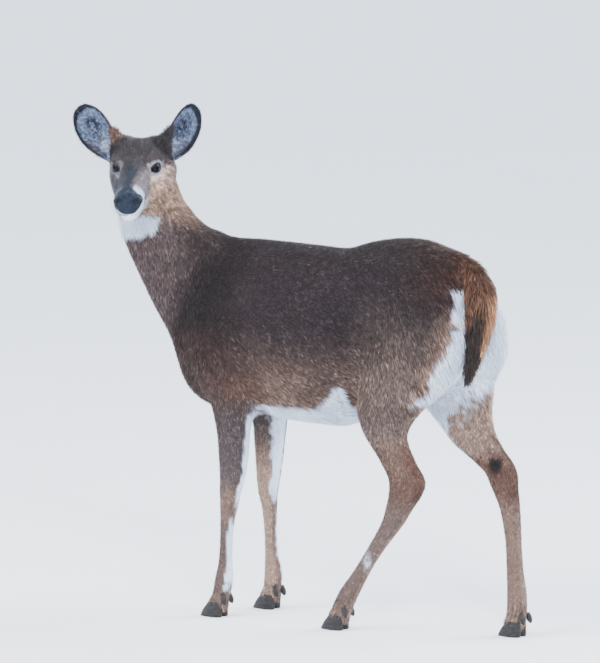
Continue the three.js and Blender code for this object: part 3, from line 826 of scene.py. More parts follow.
def head_colour(points):
    """Dark forehead and crown, a bluish stripe down the bridge, a pale ring round the eye, grey sides of
    the muzzle, tan cheeks, white chin and a white band behind the nose. The right side, turned from the
    light, is darker and bluer: partly its own fur, partly painted shade."""
    own = to_head(points)
    along, side, up = (own / MM).T
    right = fade(side, 6, -6)
    stripe_off = np.abs(side + 3)
    side = np.abs(side)
    own[:, 1] = np.abs(own[:, 1])
    wander = 9 * (noise(points, 7, 5) - 0.5)
    colour = over(plain(CHEEK, len(points)), MUZZLE, 0.9 * fade(along + wander, 108, 146))
    colour = over(colour, CHEEK_BROWN, 0.35 * fade(along + wander, 60, 20))
    colour = over(colour, CHEEK, 0.5 * fade(along, 60, 20) * fade(up, -20, -50))
    colour = over(colour, CHEEK_BROWN, 0.35 * fade(up, -45, -80) * fade(along, 140, 100))
    colour = over(colour, WHITE, 0.25 * fade(along, 95, 60) * fade(up, -55, -20) * fade(side, 30, 45))
    # painted shade: the right side of the face darker and bluer, partly also its own darker fur
    colour = over(colour, SHADED_FAR_FACE, 0.97 * right * fade(along, 5, 95))
    colour = over(colour, neck_colour(points), fade(along + 0.5 * np.maximum(up + 40, 0), 0, -26))
    colour = over(colour, FOREHEAD, fade(up + wander, 4, 22) * fade(along, 150, 120))
    half = np.interp(along, [100, 130, 160, 185, 210, 240], [34, 23, 18, 14, 11, 9])
    colour = over(colour, FOREHEAD, 0.55 * fade(stripe_off + wander, half + 12, half) * fade(up, -16, -2))
    stripe = 0.9 * fade(stripe_off + wander, half + 3, half - 9) * fade(along, 108, 150)
    colour = over(colour, BRIDGE, stripe)
    ring = (own / MM - EYE_CENTRE[1] / MM) * np.where(up[:, None] > 14, (1, 1, 1.5), (1, 1, 1))
    ring = np.linalg.norm(ring, axis=1)
    pale = fade(ring + wander, 30, 20) * fade(side, 20, 29) * fade(along + wander, 62, 72)
    # the pale ring round the eye is dimmed on the right side: painted shade
    near = 1 - 0.6 * right
    colour = over(colour, EYE_RING, 0.9 * pale * near)
    upper = fade(up, 20, 26) * fade(along, 104, 88)
    colour = over(colour, WHITE, 0.45 * pale * near * np.maximum(fade(up, 4, -8), upper))
    under_eye = 0.4 * (1 - right) * fade(ring + wander, 38, 24) * fade(up, 2, -10) * fade(side, 30, 38)
    colour = over(colour, WHITE, under_eye)
    colour = over(colour, CROWN, 0.8 * fade(up + wander, 22, 38) * fade(side, 24, 44) * fade(along, 74, 50))
    root = near_path(own, [(16, 40, 42), (24, 48, 60), (14, 62, 80), (4, 74, 94)]) / MM
    root_colour = np.where(right[:, None] > 0.5, RUST_PALE, CROWN)
    colour = over(colour, root_colour, 0.9 * fade(root + 4 * right, 28, 18))
    corner = near_path(own, [(118, 37, 10), (136, 34, 0)]) / (3.2 * MM)
    colour = over(colour, CROWN, 0.7 * np.exp(-(corner**2)))
    temple = EYE_CENTRE[1] / MM + (5, 16, 3) @ np.array([GAZE, TO_OUTER_CORNER, ZENITH])
    corner = near_path(own, [temple, temple + (-9, 3, 2)]) / (3.8 * MM)
    colour = over(colour, BLACK, np.minimum(1.3 * np.exp(-(corner**2)), 0.95))
    band = fade(along + wander, 208, 236) * fade(stripe_off, half + 1, half + 6) * (1 - 0.9 * right)
    band = np.maximum(band, 0.7 * fade(along + wander, 120, 150) * fade(up + wander, -34, -48))
    colour = over(colour, WHITE, 0.6 * band)
    peak = fade(stripe_off - 0.9 * (along - 222), 2, -2) * fade(along, 220, 226) * fade(up, -10, -4)
    colour = over(colour, NOSE_BLUE, 0.95 * peak)
    chin = np.interp(along, [40, 95, 115, 140, 200, 262], [-112, -104, -86, -66, -56, -52]) + wander
    chin -= 9 * right * fade(along, 90, 130)
    return over(colour, WHITE, fade(up, chin + 4, chin - 4) * fade(along, 10, 40))


def leg_colour(points, normals, name):
    """Brown on the outside, white or tan on the inside. turn is the way the skin faces: 0 to the rear, 90
    to the inside, 180 to the front and -90 to the outside."""
    z = points[:, 2] / MM
    inward = normals[:, 1] if "left" in name else -normals[:, 1]
    wander = noise(points, 12, 6) - 0.5
    z = z + 30 * wander
    turn = np.degrees(np.arctan2(inward, normals[:, 0])) + 26 * wander
    inside = fade(np.abs(turn - 80), 75, 45)
    if name.startswith("front"):
        colour = over(plain(LEG_BROWN, len(points)), TAN, fade(z, 345, 285))
        pale = fade(turn, 30, 60) * fade(z, 500, 400) * (0.2 + 0.65 * fade(z, 430, 330))
        colour = over(colour, PALE_TAN, pale)
        colour = over(colour, LEG_BROWN, 0.6 * fade(turn, -40, -80) * fade(z, 245, 200))
        colour = over(colour, torso_colour(points), fade(z, 470, 560) * (1 - 0.85 * fade(turn, 60, 100)))
        low = np.interp(z, [225, 285], [-56, -19])
        high = np.interp(z, [225, 285], [50 if "left" in name else -4, 62])
        white = fade(turn, low - 7, low + 7) * fade(turn, high + 8, high - 8)
        white *= (1 - np.exp(-(((z - 250) / 22) ** 2))) * fade(z, 62, 90)
        white = np.maximum(white * fade(z, 560, 520), fade(turn, -10, 30) * fade(z, 470, 540))
    else:
        colour = over(plain(THIGH, len(points)), TAN, fade(z, 480, 400))
        colour = over(colour, PALE_TAN, 0.35 * fade(z, 500, 450) * fade(z, 350, 400))
        colour = over(colour, torso_colour(points), fade(z, 520, 590))
        rear = fade(np.abs(turn), 75, 35)
        colour = over(colour, RUST, (0.58 + 0.25 * rear) * fade(z, 285, 335) * fade(z, 480, 430))
        colour = over(colour, RUST_PALE, 0.5 * rear * fade(z, 340, 375) * fade(z, 490, 450))
        colour = over(colour, LEG_BROWN, 0.5 * fade(turn, -10, -50) * fade(z, 340, 280))
        colour = over(colour, PALE_TAN, 0.35 * fade(np.abs(turn - 10), 45, 15) * fade(z, 290, 230))
        colour = over(colour, PALE_TAN, 0.8 * inside * fade(z, 400, 440))
        behind = 0.6 * np.exp(-(((turn - 20) / 24) ** 2)) * fade(z, 580, 545) * fade(z, 430, 470)
        colour = over(colour, TAN, behind)
        ends = np.interp(turn, [0, 50, 85, 125], [602, 585, 535, 440])
        edge = np.exp(-(((turn + 6) / 24) ** 2)) * fade(z, 455, 500) * (0.8 if "right" in name else 0.2)
        colour = over(colour, CHEEK, edge)
        white = 0.95 * fade(turn, -30, 0) * fade(z, ends - 34, ends + 30) * fade(z, 780, 710)
        white = np.maximum(white, rump_white(points))
    colour = over(colour, WHITE, white)
    colour = over(colour, PALE_TAN, 0.5 * fade(z, 70, 40))
    if name in TARSAL_SPOT:
        own = about(points, TARSAL_SPOT[name], (34, 30, 36))
        colour = over(colour, RUST, 0.85 * own * (turn > -60))
        colour = over(colour, BLACK, 2.2 * about(points, TARSAL_SPOT[name], (13, 16, 15)))
        colour = over(colour, WHITE, 0.9 * about(points, METATARSAL_SPOT[name], (7, 10, 17)))
        slit = METATARSAL_SPOT[name] + np.array([0, 0, 4])
        colour = over(colour, LEG_BROWN, 1.1 * about(points, slit, (2, 10, 8)))
    return colour


def tail_colour(points):
    """Rusty brown, golden on its right, with a dark stripe on its left that widens to a black tip; white on
    the side that lies against the rump. turn is the angle round the tail: 90 outwards, 180 to the left."""
    t, side, up = LOFTS["tail"].local(points) / MM
    side, up = side - LOFTS["tail"].at(t * MM, 1) / MM, up - LOFTS["tail"].at(t * MM, 2) / MM
    turn = np.degrees(np.arctan2(up, side)) % 360 + 24 * (noise(points, 9, 7) - 0.5)
    gold = 0.85 * fade(turn, 130, 90) * fade(t, 30, 90)
    colour = over(plain(TAIL_BROWN, len(points)), TAIL_GOLD, gold)
    wide = np.interp(t, [70, 100, 130, 180, 212], [0, 16, 29, 58, 190])
    stripe = 0.9 * fade(np.abs(turn - 160), wide + 22, wide - 12) * fade(t, 66, 120)
    colour = over(colour, TAIL_DARK, stripe)
    colour = over(colour, RUST, 0.45 * fade(t, 90, 10))
    return over(colour, WHITE, fade(np.abs(turn - 270), 52, 36) * fade(t, 16, 44) * fade(t, 250, 225))


def markings(points, normals, part_shares):
    """The sum of the parts' own colours, each by its share, with slow and fast changes in brightness."""
    colour = np.zeros((len(points), 3))
    painters = {"trunk": torso_colour, "neck": neck_colour, "head": head_colour, "tail": tail_colour}
    for name, share in zip(PARTS, part_shares.T):
        some = share > 0.002
        if not some.any():
            continue
        if name in LEGS:
            made = leg_colour(points[some], normals[some], name)
        else:
            made = painters[name](points[some])
        colour[some] += made * share[some, None]
    tail = fade(part_shares[:, -1], 0.2, 0.5)
    colour = over(colour, tail_colour(points), tail)
    slow = 0.88 + 0.24 * noise(points, 45, 8)
    return colour * slow[:, None]


def nose_share(points):
    """1 on the bare pad of the nose: in front of a line that runs from high on the bridge round behind the
    nostrils to the upper lip."""
    along, side, up = (to_head(points) / MM).T
    angle = np.degrees(np.arctan2(up + 24, np.abs(side)))
    edge = np.interp(angle, NOSE_EDGE[:, 0], NOSE_EDGE[:, 1])
    lip = -54 + 20 * (np.abs(side) / 30) ** 2.7
    return fade(along, edge - 1, edge + 1) * fade(up, lip, lip + 2)


# %% [markdown]
# ## Ears
# A deer's ear is a leaf rolled into a cup: at its base the section is two thirds of a ring, and it opens
# towards the tip. So it is a surface of two numbers: the share of its length, and the angle round the arc.

# %% The ears' surfaces
EARS = {
    "ear_left": {
        "base": (20, 57, 22),
        "axis": (-0.62, 0.44, 0.65),
        "facing": (0.72, 0.62, 0.29),
        "long": 153,
        "wide": 0.93,
    },
    "ear_right": {
        "base": (20, -56, 20),
        "axis": (-0.497, -0.626, 0.620),
        "facing": (0.93, -0.1, 0.29),
        "long": 163,
        "wide": 1.0,
    },
}
EAR_ROWS = np.array([  # share of the length, half width in mm, half angle of the arc in degrees
    [-0.12, 16, 118],
    [0, 20, 116],
    [0.14, 27, 104],
    [0.3, 35, 84],
    [0.5, 39, 66],
    [0.7, 36, 54],
    [0.85, 28, 46],
    [0.95, 18, 38],
    [0.99, 9, 32],
    [1, 4, 30],
])  # fmt: skip
EAR_STEPS, EAR_ARCS = 54, 36


def ear_axes(ear):
    """Along the ear, out of its opening, and across it."""
    along = unit(np.array(ear["axis"])) @ HEAD_AXES
    out = np.array(ear["facing"]) @ HEAD_AXES
    out = unit(out - along * (out @ along))
    return along, out, np.cross(along, out)


def ear_leaf(ear, behind):
    """An arc of radius half/sin(angle) at each share of the length, behind mm further out on the back."""
    along, out, across = ear_axes(ear)
    share = -0.12 + 1.12 * np.linspace(0, 1, EAR_STEPS + 1) ** 0.9
    row = through_rows(EAR_ROWS, share)
    angle = np.radians(row[:, 2])
    radius = row[:, 1] * ear["wide"] / np.sin(np.minimum(angle, np.pi / 2)) * MM
    turn = angle[:, None] * np.linspace(-1, 1, EAR_ARCS + 1)
    ripple = 0.35 * MM * np.sin(turn * 9) * fade(share, 0.05, 0.3)[:, None]
    r = radius[:, None] + behind * MM + ripple
    base = from_head(np.array(ear["base"]) * MM)
    spine = base + share[:, None] * ear["long"] * MM * along + radius[:, None] * out
    leaf = spine[:, None] + (r * np.sin(turn))[..., None] * across - (r * np.cos(turn))[..., None] * out
    outer = np.sign((across @ HEAD_AXES.T)[1] * ear["base"][1])
    return leaf, np.broadcast_to(share[:, None], turn.shape), outer * turn / angle[:, None]


def grid_faces(rows, columns, start=0, flip=False):
    """The quads of a grid of rows by columns of points, numbered from start."""
    a = start + (np.arange(rows - 1)[:, None] * columns + np.arange(columns - 1)).ravel()
    quads = np.stack([a, a + 1, a + columns + 1, a + columns], axis=1)
    return quads[:, ::-1] if flip else quads


def triangles(faces):
    """Quads as two triangles each."""
    return faces if faces.shape[1] == 3 else np.concatenate([faces[:, :3], faces[:, [0, 2, 3]]])


def circle(count):
    """count angles, evenly round from 0."""
    return np.linspace(0, 2 * np.pi, count + 1)[:-1]


def closed_tube(rings, count):
    """Triangles over rings of count points each, and fans to two more points that close the ends."""
    here = np.arange(count)
    ahead = (here + 1) % count
    row = np.arange(rings - 1)[:, None] * count
    quads = np.stack([row + here, row + ahead, row + count + ahead, row + count + here], axis=-1)
    last = (rings - 1) * count
    first_fan = np.stack([np.full(count, rings * count), ahead, here], axis=1)
    last_fan = np.stack([np.full(count, rings * count + 1), last + here, last + ahead], axis=1)
    return np.concatenate([triangles(quads.reshape(-1, 4)), first_fan, last_fan])


def ear_shell(ear):
    """The leaf twice, 1.2 mm apart, joined round the rim into one closed wall."""
    front, share, turn = ear_leaf(ear, 0.7)
    back, _, _ = ear_leaf(ear, 1.9)
    rows, columns = front.shape[:2]
    size = rows * columns
    points = np.concatenate([front.reshape(-1, 3), back.reshape(-1, 3)])
    index = np.arange(size).reshape(rows, columns)
    rim = np.concatenate([index[:, 0], index[-1, 1:], index[-2::-1, -1], index[0, -2:0:-1]])
    loop = np.stack([rim, np.roll(rim, -1), np.roll(rim, -1) + size, rim + size], axis=1)
    faces = np.concatenate([grid_faces(rows, columns, flip=True), grid_faces(rows, columns, size), loop])
    facts = np.stack([np.tile(share.ravel(), 2), np.tile(turn.ravel(), 2), np.repeat([1, 0], size)], axis=1)
    return points, faces, facts


def outwards(points, faces):
    """Turns the faces round if the closed surface's signed volume is negative."""
    a, b, c = (points[faces[:, k]] for k in (0, 1, 2))
    volume = np.einsum("ij,ij->", a, np.cross(b, c))
    if faces.shape[1] == 4:
        volume += np.einsum("ij,ij->", a, np.cross(c, points[faces[:, 3]]))
    return faces if volume > 0 else faces[:, ::-1]


def ear_colour(points, facts):
    """Inside pale with a dark heart and brown low on the outer side, a black rim that is broad at the tip
    and the outer edge, and fur of the crown over the inner rim; brown behind. turn is -1 at the rim
    towards the crown and 1 at the outer rim."""
    share, turn, front = facts.T
    patchy = 0.6 * noise(points, 2.6, 11) + 0.4 * noise(points, 8, 13)
    white = 0.55 * fade(share, 0.45, 0.2) * fade(turn, 0.5, 0)
    inside = over(plain(EAR_PALE, len(points)), WHITE, white)
    heart = np.exp(-(((share - 0.6) / 0.26) ** 2) - ((turn + 0.05) / 0.55) ** 2)
    heart = np.minimum(1.25 * heart * (0.35 + 0.65 * fade(patchy, 0.35, 0.6)), 1)
    inside = over(inside, EAR_DARK, heart)
    low = np.exp(-(((share - 0.28) / 0.16) ** 2) - ((turn - 0.72) / 0.25) ** 2)
    inside = over(inside, CHEEK_BROWN, 0.9 * fade(patchy, 0.1, 0.6) * low)
    ragged = 0.10 * (noise(points, 4, 12) - 0.5)
    half = np.interp(share, EAR_ROWS[:, 0], EAR_ROWS[:, 1])
    from_rim = smooth_min((1 - np.abs(turn)) * half * 1.15, (1 - share) * 150, 5.0) + 40 * ragged
    right = to_head(points)[:, 1:2] < 0
    thick = 2.5 + np.where(right[:, 0], 3, 7) * fade(turn, 0, 0.5) + 13 * fade(share, 0.76, 0.96)
    inside = over(inside, BLACK, 0.97 * fade(from_rim, thick + 2, thick - 2) * fade(share, 0.0, 0.12))
    inside = over(inside, EAR_DARK, 0.6 * fade(from_rim, thick + 9, thick) * fade(share, 0.0, 0.12))
    web = np.interp(share, [0, 0.15, 0.3, 0.46], [0.3, 0.05, -0.5, -1.05])
    web_colour = np.where(right, RUST_PALE, CROWN)
    inside = over(inside, web_colour, 0.9 * fade(turn + ragged, web + 0.1, web - 0.1))
    outside = over(plain(NECK, len(points)), CROWN, fade(share, 0.3, 0.8))
    outside = over(outside, RUST, 0.5 * fade(share, 0.25, 0.05))
    outside = over(outside, BLACK, 0.8 * np.maximum(fade(share, 0.8, 0.95), fade(np.abs(turn), 0.85, 0.97)))
    return np.where(front[:, None] > 0.5, inside, outside)


ear_meshes = {name: ear_shell(ear) for name, ear in EARS.items()}
print("ears:", {name: len(mesh[1]) for name, mesh in ear_meshes.items()}, "quads")

# %% [markdown]
# ## Eyes and lids
# The eyeballs are the frame's own size, 36 mm across, and sit as deep. Each looks sideways and a little
# forward. The lids are a ring of skin that starts on the ball, at the edge of an almond, and runs out
# onto the face, found by casting rays from the middle of the ball.

# %% The gaze and the almond
EYE_RADIUS = 18 * MM
ALMOND_WIDE, ALMOND_HIGH = np.radians(57), np.radians(37)
ALMOND_TILT = np.radians(8)  # the inner corner is the lower one
CORNEA = 0.8 * MM  # how far it stands proud of the ball
EYE_RINGS, EYE_SPOKES = 47, 64


def gaze_axes(side):
    """The way the eye looks, the way to its outer corner, and up from both, in the head's coordinates."""
    level = np.array([np.cos(GAZE_TURN), side * np.sin(GAZE_TURN), 0])
    gaze = level * np.cos(GAZE_LIFT) + np.array([0, 0, np.sin(GAZE_LIFT)])
    outer = np.array([-np.sin(GAZE_TURN), side * np.cos(GAZE_TURN), 0])
    lift = np.array([0, 0, 1.0]) - gaze * gaze[2]
    return gaze, outer, unit(lift)


def ways(side, a, b):
    """Directions from the eye's centre: gaze·cos a·cos b + outer·sin a·cos b + up·sin b."""
    gaze, outer, lift = gaze_axes(side)
    a, b = np.asarray(a)[..., None], np.asarray(b)[..., None]
    return gaze * np.cos(a) * np.cos(b) + outer * np.sin(a) * np.cos(b) + lift * np.sin(b)


def almond(phi, wider=0.0):
    """The opening's edge: a = wide·cos phi, b = high·|sin phi|^1.35 with its sign, tilted, then wider."""
    a = (ALMOND_WIDE + wider) * np.cos(phi)
    sine = np.sin(phi)
    high = np.where(sine > 0, ALMOND_HIGH, 0.9 * ALMOND_HIGH)
    b = high * np.sign(sine) * np.abs(sine) ** 1.35 + wider * sine
    c, s = np.cos(ALMOND_TILT), np.sin(ALMOND_TILT)
    return a * c - b * s, a * s + b * c


def eyeball(side):
    """A ball of rings round the gaze, with the cornea 0.8 mm proud: r = 18 + 0.8·exp(-(angle/28°)²)."""
    angle, turn = np.meshgrid(np.linspace(0, np.pi, EYE_RINGS + 2)[1:-1], circle(EYE_SPOKES), indexing="ij")
    gaze, outer, lift = gaze_axes(side)
    spread = outer * np.cos(turn)[..., None] + lift * np.sin(turn)[..., None]
    way = gaze * np.cos(angle)[..., None] + spread * np.sin(angle)[..., None]
    r = EYE_RADIUS + CORNEA * np.exp(-((np.degrees(angle) / 28) ** 2))
    rings = (way * r[..., None]).reshape(-1, 3)
    poles = np.array([gaze * (EYE_RADIUS + CORNEA), -gaze * EYE_RADIUS])
    points = EYE_CENTRE[side] + np.concatenate([rings, poles])
    across, upward = np.sin(angle) * np.cos(turn), np.sin(angle) * np.sin(turn)
    place = np.concatenate([np.stack([across, upward], axis=-1).reshape(-1, 2), [[0, 0], [0, 0]]])
    points = from_head(points)
    return points, outwards(points, closed_tube(EYE_RINGS, EYE_SPOKES)), place


def iris_colour(place):
    """Nearly black pupil, wide and low, in a dark brown iris with fine rays, black at its edge."""
    across, upward = place.T
    away = np.hypot(across, upward)
    turn = np.arctan2(upward, across)
    rays = 0.5 + 0.5 * np.sin(turn * 61 + 3 * np.sin(turn * 17)) * np.sin(turn * 37 + 1)
    colour = np.outer(0.6 + 0.8 * rays, paint(25, 19, 25))
    pupil = fade(np.hypot(across / 0.36, upward / 0.24), 1.08, 0.92)
    colour = over(colour, paint(6, 5, 6), pupil)
    colour = over(colour, paint(14, 10, 9), fade(away, 0.52, 0.64))
    return over(colour, paint(48, 40, 40), 0.4 * fade(away, 0.9, 0.99))


RINGS, AROUND = 18, 96
LID_SPAN = np.radians(27)  # how far the lids' skin runs out from the almond


def lid_ring(side):
    """Rays from the eye's centre, ring by ring out from the almond. Where the face lies deeper than the
    ball, the lid keeps to the ball plus its own thickness, and the outer rings dive into the face."""
    phi = circle(AROUND)
    out = np.linspace(0, 1, RINGS)
    wider = LID_SPAN * out
    angles = [almond(phi, w) for w in wider]
    way = np.stack([ways(side, a, b) for a, b in angles])
    centre = EYE_CENTRE[side]
    near, far = np.full(way.shape[:2], 14 * MM), np.full(way.shape[:2], 34 * MM)
    for _ in range(14):
        middle = (near + far) / 2
        inside = face_reach(from_head(centre + way * middle[..., None]).reshape(-1, 3)) < 0
        inside = inside.reshape(middle.shape)
        near, far = np.where(inside, middle, near), np.where(inside, far, middle)
    upper = np.sin(phi) > 0
    puff = np.sin(np.clip(out / 0.45, 0, 1) * np.pi)[:, None] * np.where(upper, 1.3, 0.9)
    crease = np.exp(-(((out - 0.55) / 0.10) ** 2))[:, None] * np.where(upper, 0.55, 0.35)
    lid = EYE_RADIUS + (0.75 + puff - crease) * MM
    skin = near + (0.3 - crease) * MM
    to_skin = fade(out, 0.1, 0.7)[:, None]
    radius = lid * (1 - to_skin) + np.maximum(skin, EYE_RADIUS + 0.5 * MM) * to_skin
    radius = radius - (1.1 * MM) * fade(out, 0.7, 1.0)[:, None]
    points = from_head(centre + way * radius[..., None]).reshape(-1, 3)
    index = np.arange(RINGS * AROUND).reshape(RINGS, AROUND)
    right = np.roll(index, -1, axis=1)
    faces = np.stack([index[:-1], right[:-1], right[1:], index[1:]], axis=-1).reshape(-1, 4)
    normal = np.cross(points[faces[0, 1]] - points[faces[0, 0]], points[faces[0, 3]] - points[faces[0, 0]])
    if normal @ (way[0, 0] @ HEAD_AXES) < 0:
        faces = faces[:, ::-1]
    return points, faces, np.repeat(out, AROUND)


def rim_tube(side):
    """A ring of small circles along the almond: the bare black edge of the lids."""
    phi, turn = np.meshgrid(circle(120), circle(10), indexing="ij")
    a, b = almond(phi)
    a2, b2 = almond(phi, 0.05)
    way, outward = ways(side, a, b), unit(ways(side, a2, b2) - ways(side, a, b))
    thick = (1.2 + 0.9 * fade(np.sin(phi[..., None]), -0.2, 0.6)) * MM
    spot = way * (EYE_RADIUS + 0.35 * MM + thick * np.sin(turn)[..., None])
    spot += outward * thick * np.cos(turn)[..., None]
    index = np.arange(phi.size).reshape(phi.shape)
    right, ahead = np.roll(index, -1, axis=1), np.roll(index, -1, axis=0)
    both = np.roll(right, -1, axis=0)
    faces = np.stack([index, right, both, ahead], axis=-1).reshape(-1, 4)
    points = from_head(EYE_CENTRE[side] + spot).reshape(-1, 3)
    return points, outwards(points, faces)


print("eyes at:", [np.round(from_head(EYE_CENTRE[s]) / MM) for s in (1, -1)])

# %% [markdown]
# ## Finishes
# A coat gets its colour from the mesh, point by point, and its small changes from noise in the material.
# The noise reads Object coordinates, so it stays on the animal.


# %% Materials
def new_material(name):
    """A material, its nodes and links, and the shader that everything is led to."""
    material = bpy.data.materials.new(name)
    material.use_nodes = True
    nodes, links = material.node_tree.nodes, material.node_tree.links
    return material, nodes, links, nodes["Principled BSDF"]


def node(nodes, kind, **values):
    """A node with its sockets set by name."""
    made = nodes.new(kind)
    for name, value in values.items():
        made.inputs[name.replace("_", " ")].default_value = value
    return made


def noise_on_object(nodes, links, scale, detail=3.0):
    """Blender's noise read from Object coordinates."""
    where = nodes.new("ShaderNodeTexCoord")
    made = node(nodes, "ShaderNodeTexNoise", Scale=scale, Detail=detail)
    links.new(where.outputs["Object"], made.inputs["Vector"])
    return made


def painted(nodes, links, shader, low, high, scale):
    """The mesh's own colour, made darker and lighter by noise between low and high times."""
    colour = nodes.new("ShaderNodeAttribute")
    colour.attribute_name = "paint"
    spots = noise_on_object(nodes, links, scale)
    span = node(nodes, "ShaderNodeMapRange", From_Min=0.3, From_Max=0.7, To_Min=low, To_Max=high)
    links.new(spots.outputs["Fac"], span.inputs["Value"])
    times = nodes.new("ShaderNodeVectorMath")
    times.operation = "SCALE"
    links.new(colour.outputs["Color"], times.inputs[0])
    links.new(span.outputs["Result"], times.inputs["Scale"])
    links.new(times.outputs["Vector"], shader.inputs["Base Color"])


def bumpy(nodes, links, shader, height, depth):
    """A bump from a height, depth metres deep at most."""
    bump = node(nodes, "ShaderNodeBump", Strength=1.0, Distance=depth)
    links.new(height, bump.inputs["Height"])
    links.new(bump.outputs["Normal"], shader.inputs["Normal"])


def skin_material():
    """Short fur on skin: rough, with a fine nap as bump."""
    material, nodes, links, shader = new_material("short_coat")
    painted(nodes, links, shader, 0.72, 1.2, 420)
    shader.inputs["Roughness"].default_value = 0.85
    shader.inputs["Specular IOR Level"].default_value = 0.25
    bumpy(nodes, links, shader, noise_on_object(nodes, links, 900, 2.0).outputs["Fac"], 0.0008)
    return material


def hair_material():
    """Tufts: the colour on the mesh, a low soft gloss."""
    material, nodes, links, shader = new_material("winter_hair")
    painted(nodes, links, shader, 0.88, 1.12, 260)
    shader.inputs["Roughness"].default_value = 0.62
    shader.inputs["Specular IOR Level"].default_value = 0.35
    return material


def nose_material():
    """Bare wet skin in small pebbles: the mesh's colour, Voronoi cells as bump and a thin clear coat."""
    material, nodes, links, shader = new_material("wet_nose")
    painted(nodes, links, shader, 0.4, 1.7, 170)
    where = nodes.new("ShaderNodeTexCoord")
    cells = node(nodes, "ShaderNodeTexVoronoi", Scale=520)
    links.new(where.outputs["Object"], cells.inputs["Vector"])
    shader.inputs["Roughness"].default_value = 0.42
    shader.inputs["Specular IOR Level"].default_value = 0.14
    shader.inputs["Coat Weight"].default_value = 0.08
    shader.inputs["Coat Roughness"].default_value = 0.2
    bumpy(nodes, links, shader, cells.outputs["Distance"], 0.0012)
    return material


def rim_material():
    """The bare edge of the lids: black and moist."""
    material, nodes, links, shader = new_material("lid_edge")
    spots = noise_on_object(nodes, links, 700)
    ramp = nodes.new("ShaderNodeValToRGB")
    ramp.color_ramp.elements[0].color = (*paint(12, 11, 12), 1)
    ramp.color_ramp.elements[1].color = (*paint(38, 33, 32), 1)
    links.new(spots.outputs["Fac"], ramp.inputs["Fac"])
    links.new(ramp.outputs["Color"], shader.inputs["Base Color"])
    shader.inputs["Roughness"].default_value = 0.38
    shader.inputs["Specular IOR Level"].default_value = 0.2
    return material


def eye_material():
    """The iris from the mesh, under a clear cornea."""
    material, nodes, links, shader = new_material("eye")
    painted(nodes, links, shader, 0.85, 1.15, 600)
    shader.inputs["Roughness"].default_value = 0.05
    shader.inputs["IOR"].default_value = 1.17
    return material


def horn_material():
    """Hoof horn: near black, paler where it is worn, with fine rings that run round it level."""
    material, nodes, links, shader = new_material("hoof_horn")
    where = nodes.new("ShaderNodeTexCoord")
    squeeze = nodes.new("ShaderNodeMapping")
    squeeze.inputs["Scale"].default_value = (0.25, 0.25, 1.0)
    links.new(where.outputs["Object"], squeeze.inputs["Vector"])
    rings = node(nodes, "ShaderNodeTexNoise", Scale=330, Detail=3.0)
    links.new(squeeze.outputs["Vector"], rings.inputs["Vector"])
    ramp = nodes.new("ShaderNodeValToRGB")
    ramp.color_ramp.elements[0].position = 0.3
    ramp.color_ramp.elements[0].color = (*paint(12, 11, 13), 1)
    ramp.color_ramp.elements[1].position = 0.75
    ramp.color_ramp.elements[1].color = (*paint(44, 40, 40), 1)
    links.new(rings.outputs["Fac"], ramp.inputs["Fac"])
    links.new(ramp.outputs["Color"], shader.inputs["Base Color"])
    shader.inputs["Roughness"].default_value = 0.5
    shader.inputs["Specular IOR Level"].default_value = 0.3
    bumpy(nodes, links, shader, rings.outputs["Fac"], 0.0006)
    return material


SHORT_COAT, HAIR, NOSE = skin_material(), hair_material(), nose_material()
LID_EDGE, EYE_GLOSS, HORN = rim_material(), eye_material(), horn_material()


# %% Putting a mesh in the scene
def put(name, points, faces, materials, colours=None, zones=None, slot=None):
    """Arrays to a mesh: points are moved into the frame, faces are all triangles or all quads."""
    points, faces = np.asarray(points) + SHIFT, np.asarray(faces)
    mesh = bpy.data.meshes.new(name)
    count, sides = faces.shape
    mesh.vertices.add(len(points))
    mesh.vertices.foreach_set("co", points.astype(np.float32).ravel())
    mesh.loops.add(count * sides)
    mesh.loops.foreach_set("vertex_index", faces.astype(np.int32).ravel())
    mesh.polygons.add(count)
    mesh.polygons.foreach_set("loop_start", np.arange(0, count * sides, sides, dtype=np.int32))
    mesh.polygons.foreach_set("use_smooth", np.ones(count, bool))
    for material in materials:
        mesh.materials.append(material)
    if zones is not None:
        mesh.polygons.foreach_set("material_index", zones.astype(np.int32))
    if colours is not None:
        layer = mesh.attributes.new("paint", "FLOAT_COLOR", "POINT")
        rgba = np.concatenate([colours, np.ones((len(colours), 1))], axis=1)
        layer.data.foreach_set("color", rgba.astype(np.float32).ravel())
    mesh.update(calc_edges=True)
    made = bpy.data.objects.new(name, mesh)
    bpy.context.collection.objects.link(made)
    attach(made, "root")
    return made


# %% The skin
def face_normals(points, faces):
    """Each point's normal: the sum of the cross products of its faces' edges."""
    a, b, c = (points[faces[:, k]] for k in (0, 1, 2))
    cross = np.cross(b - a, c - a)
    total = np.zeros_like(points)
    for k in range(3):
        for axis in range(3):
            total[:, axis] += np.bincount(faces[:, k], weights=cross[:, axis], minlength=len(points))
    return unit(total)


body_normals = face_normals(body_points, body_faces)
body_shares = shares(part_reaches(body_points))
body_paint = markings(body_points, body_normals, body_shares)
own = to_half_head(body_points)
on_pad = nose_share(body_points)
body_paint = over(body_paint, BLACK, 0.8 * np.exp(-((near_path(own, MOUTH) / (2.2 * MM)) ** 2)))
body_paint = over(body_paint, NOSE_BLUE, on_pad)
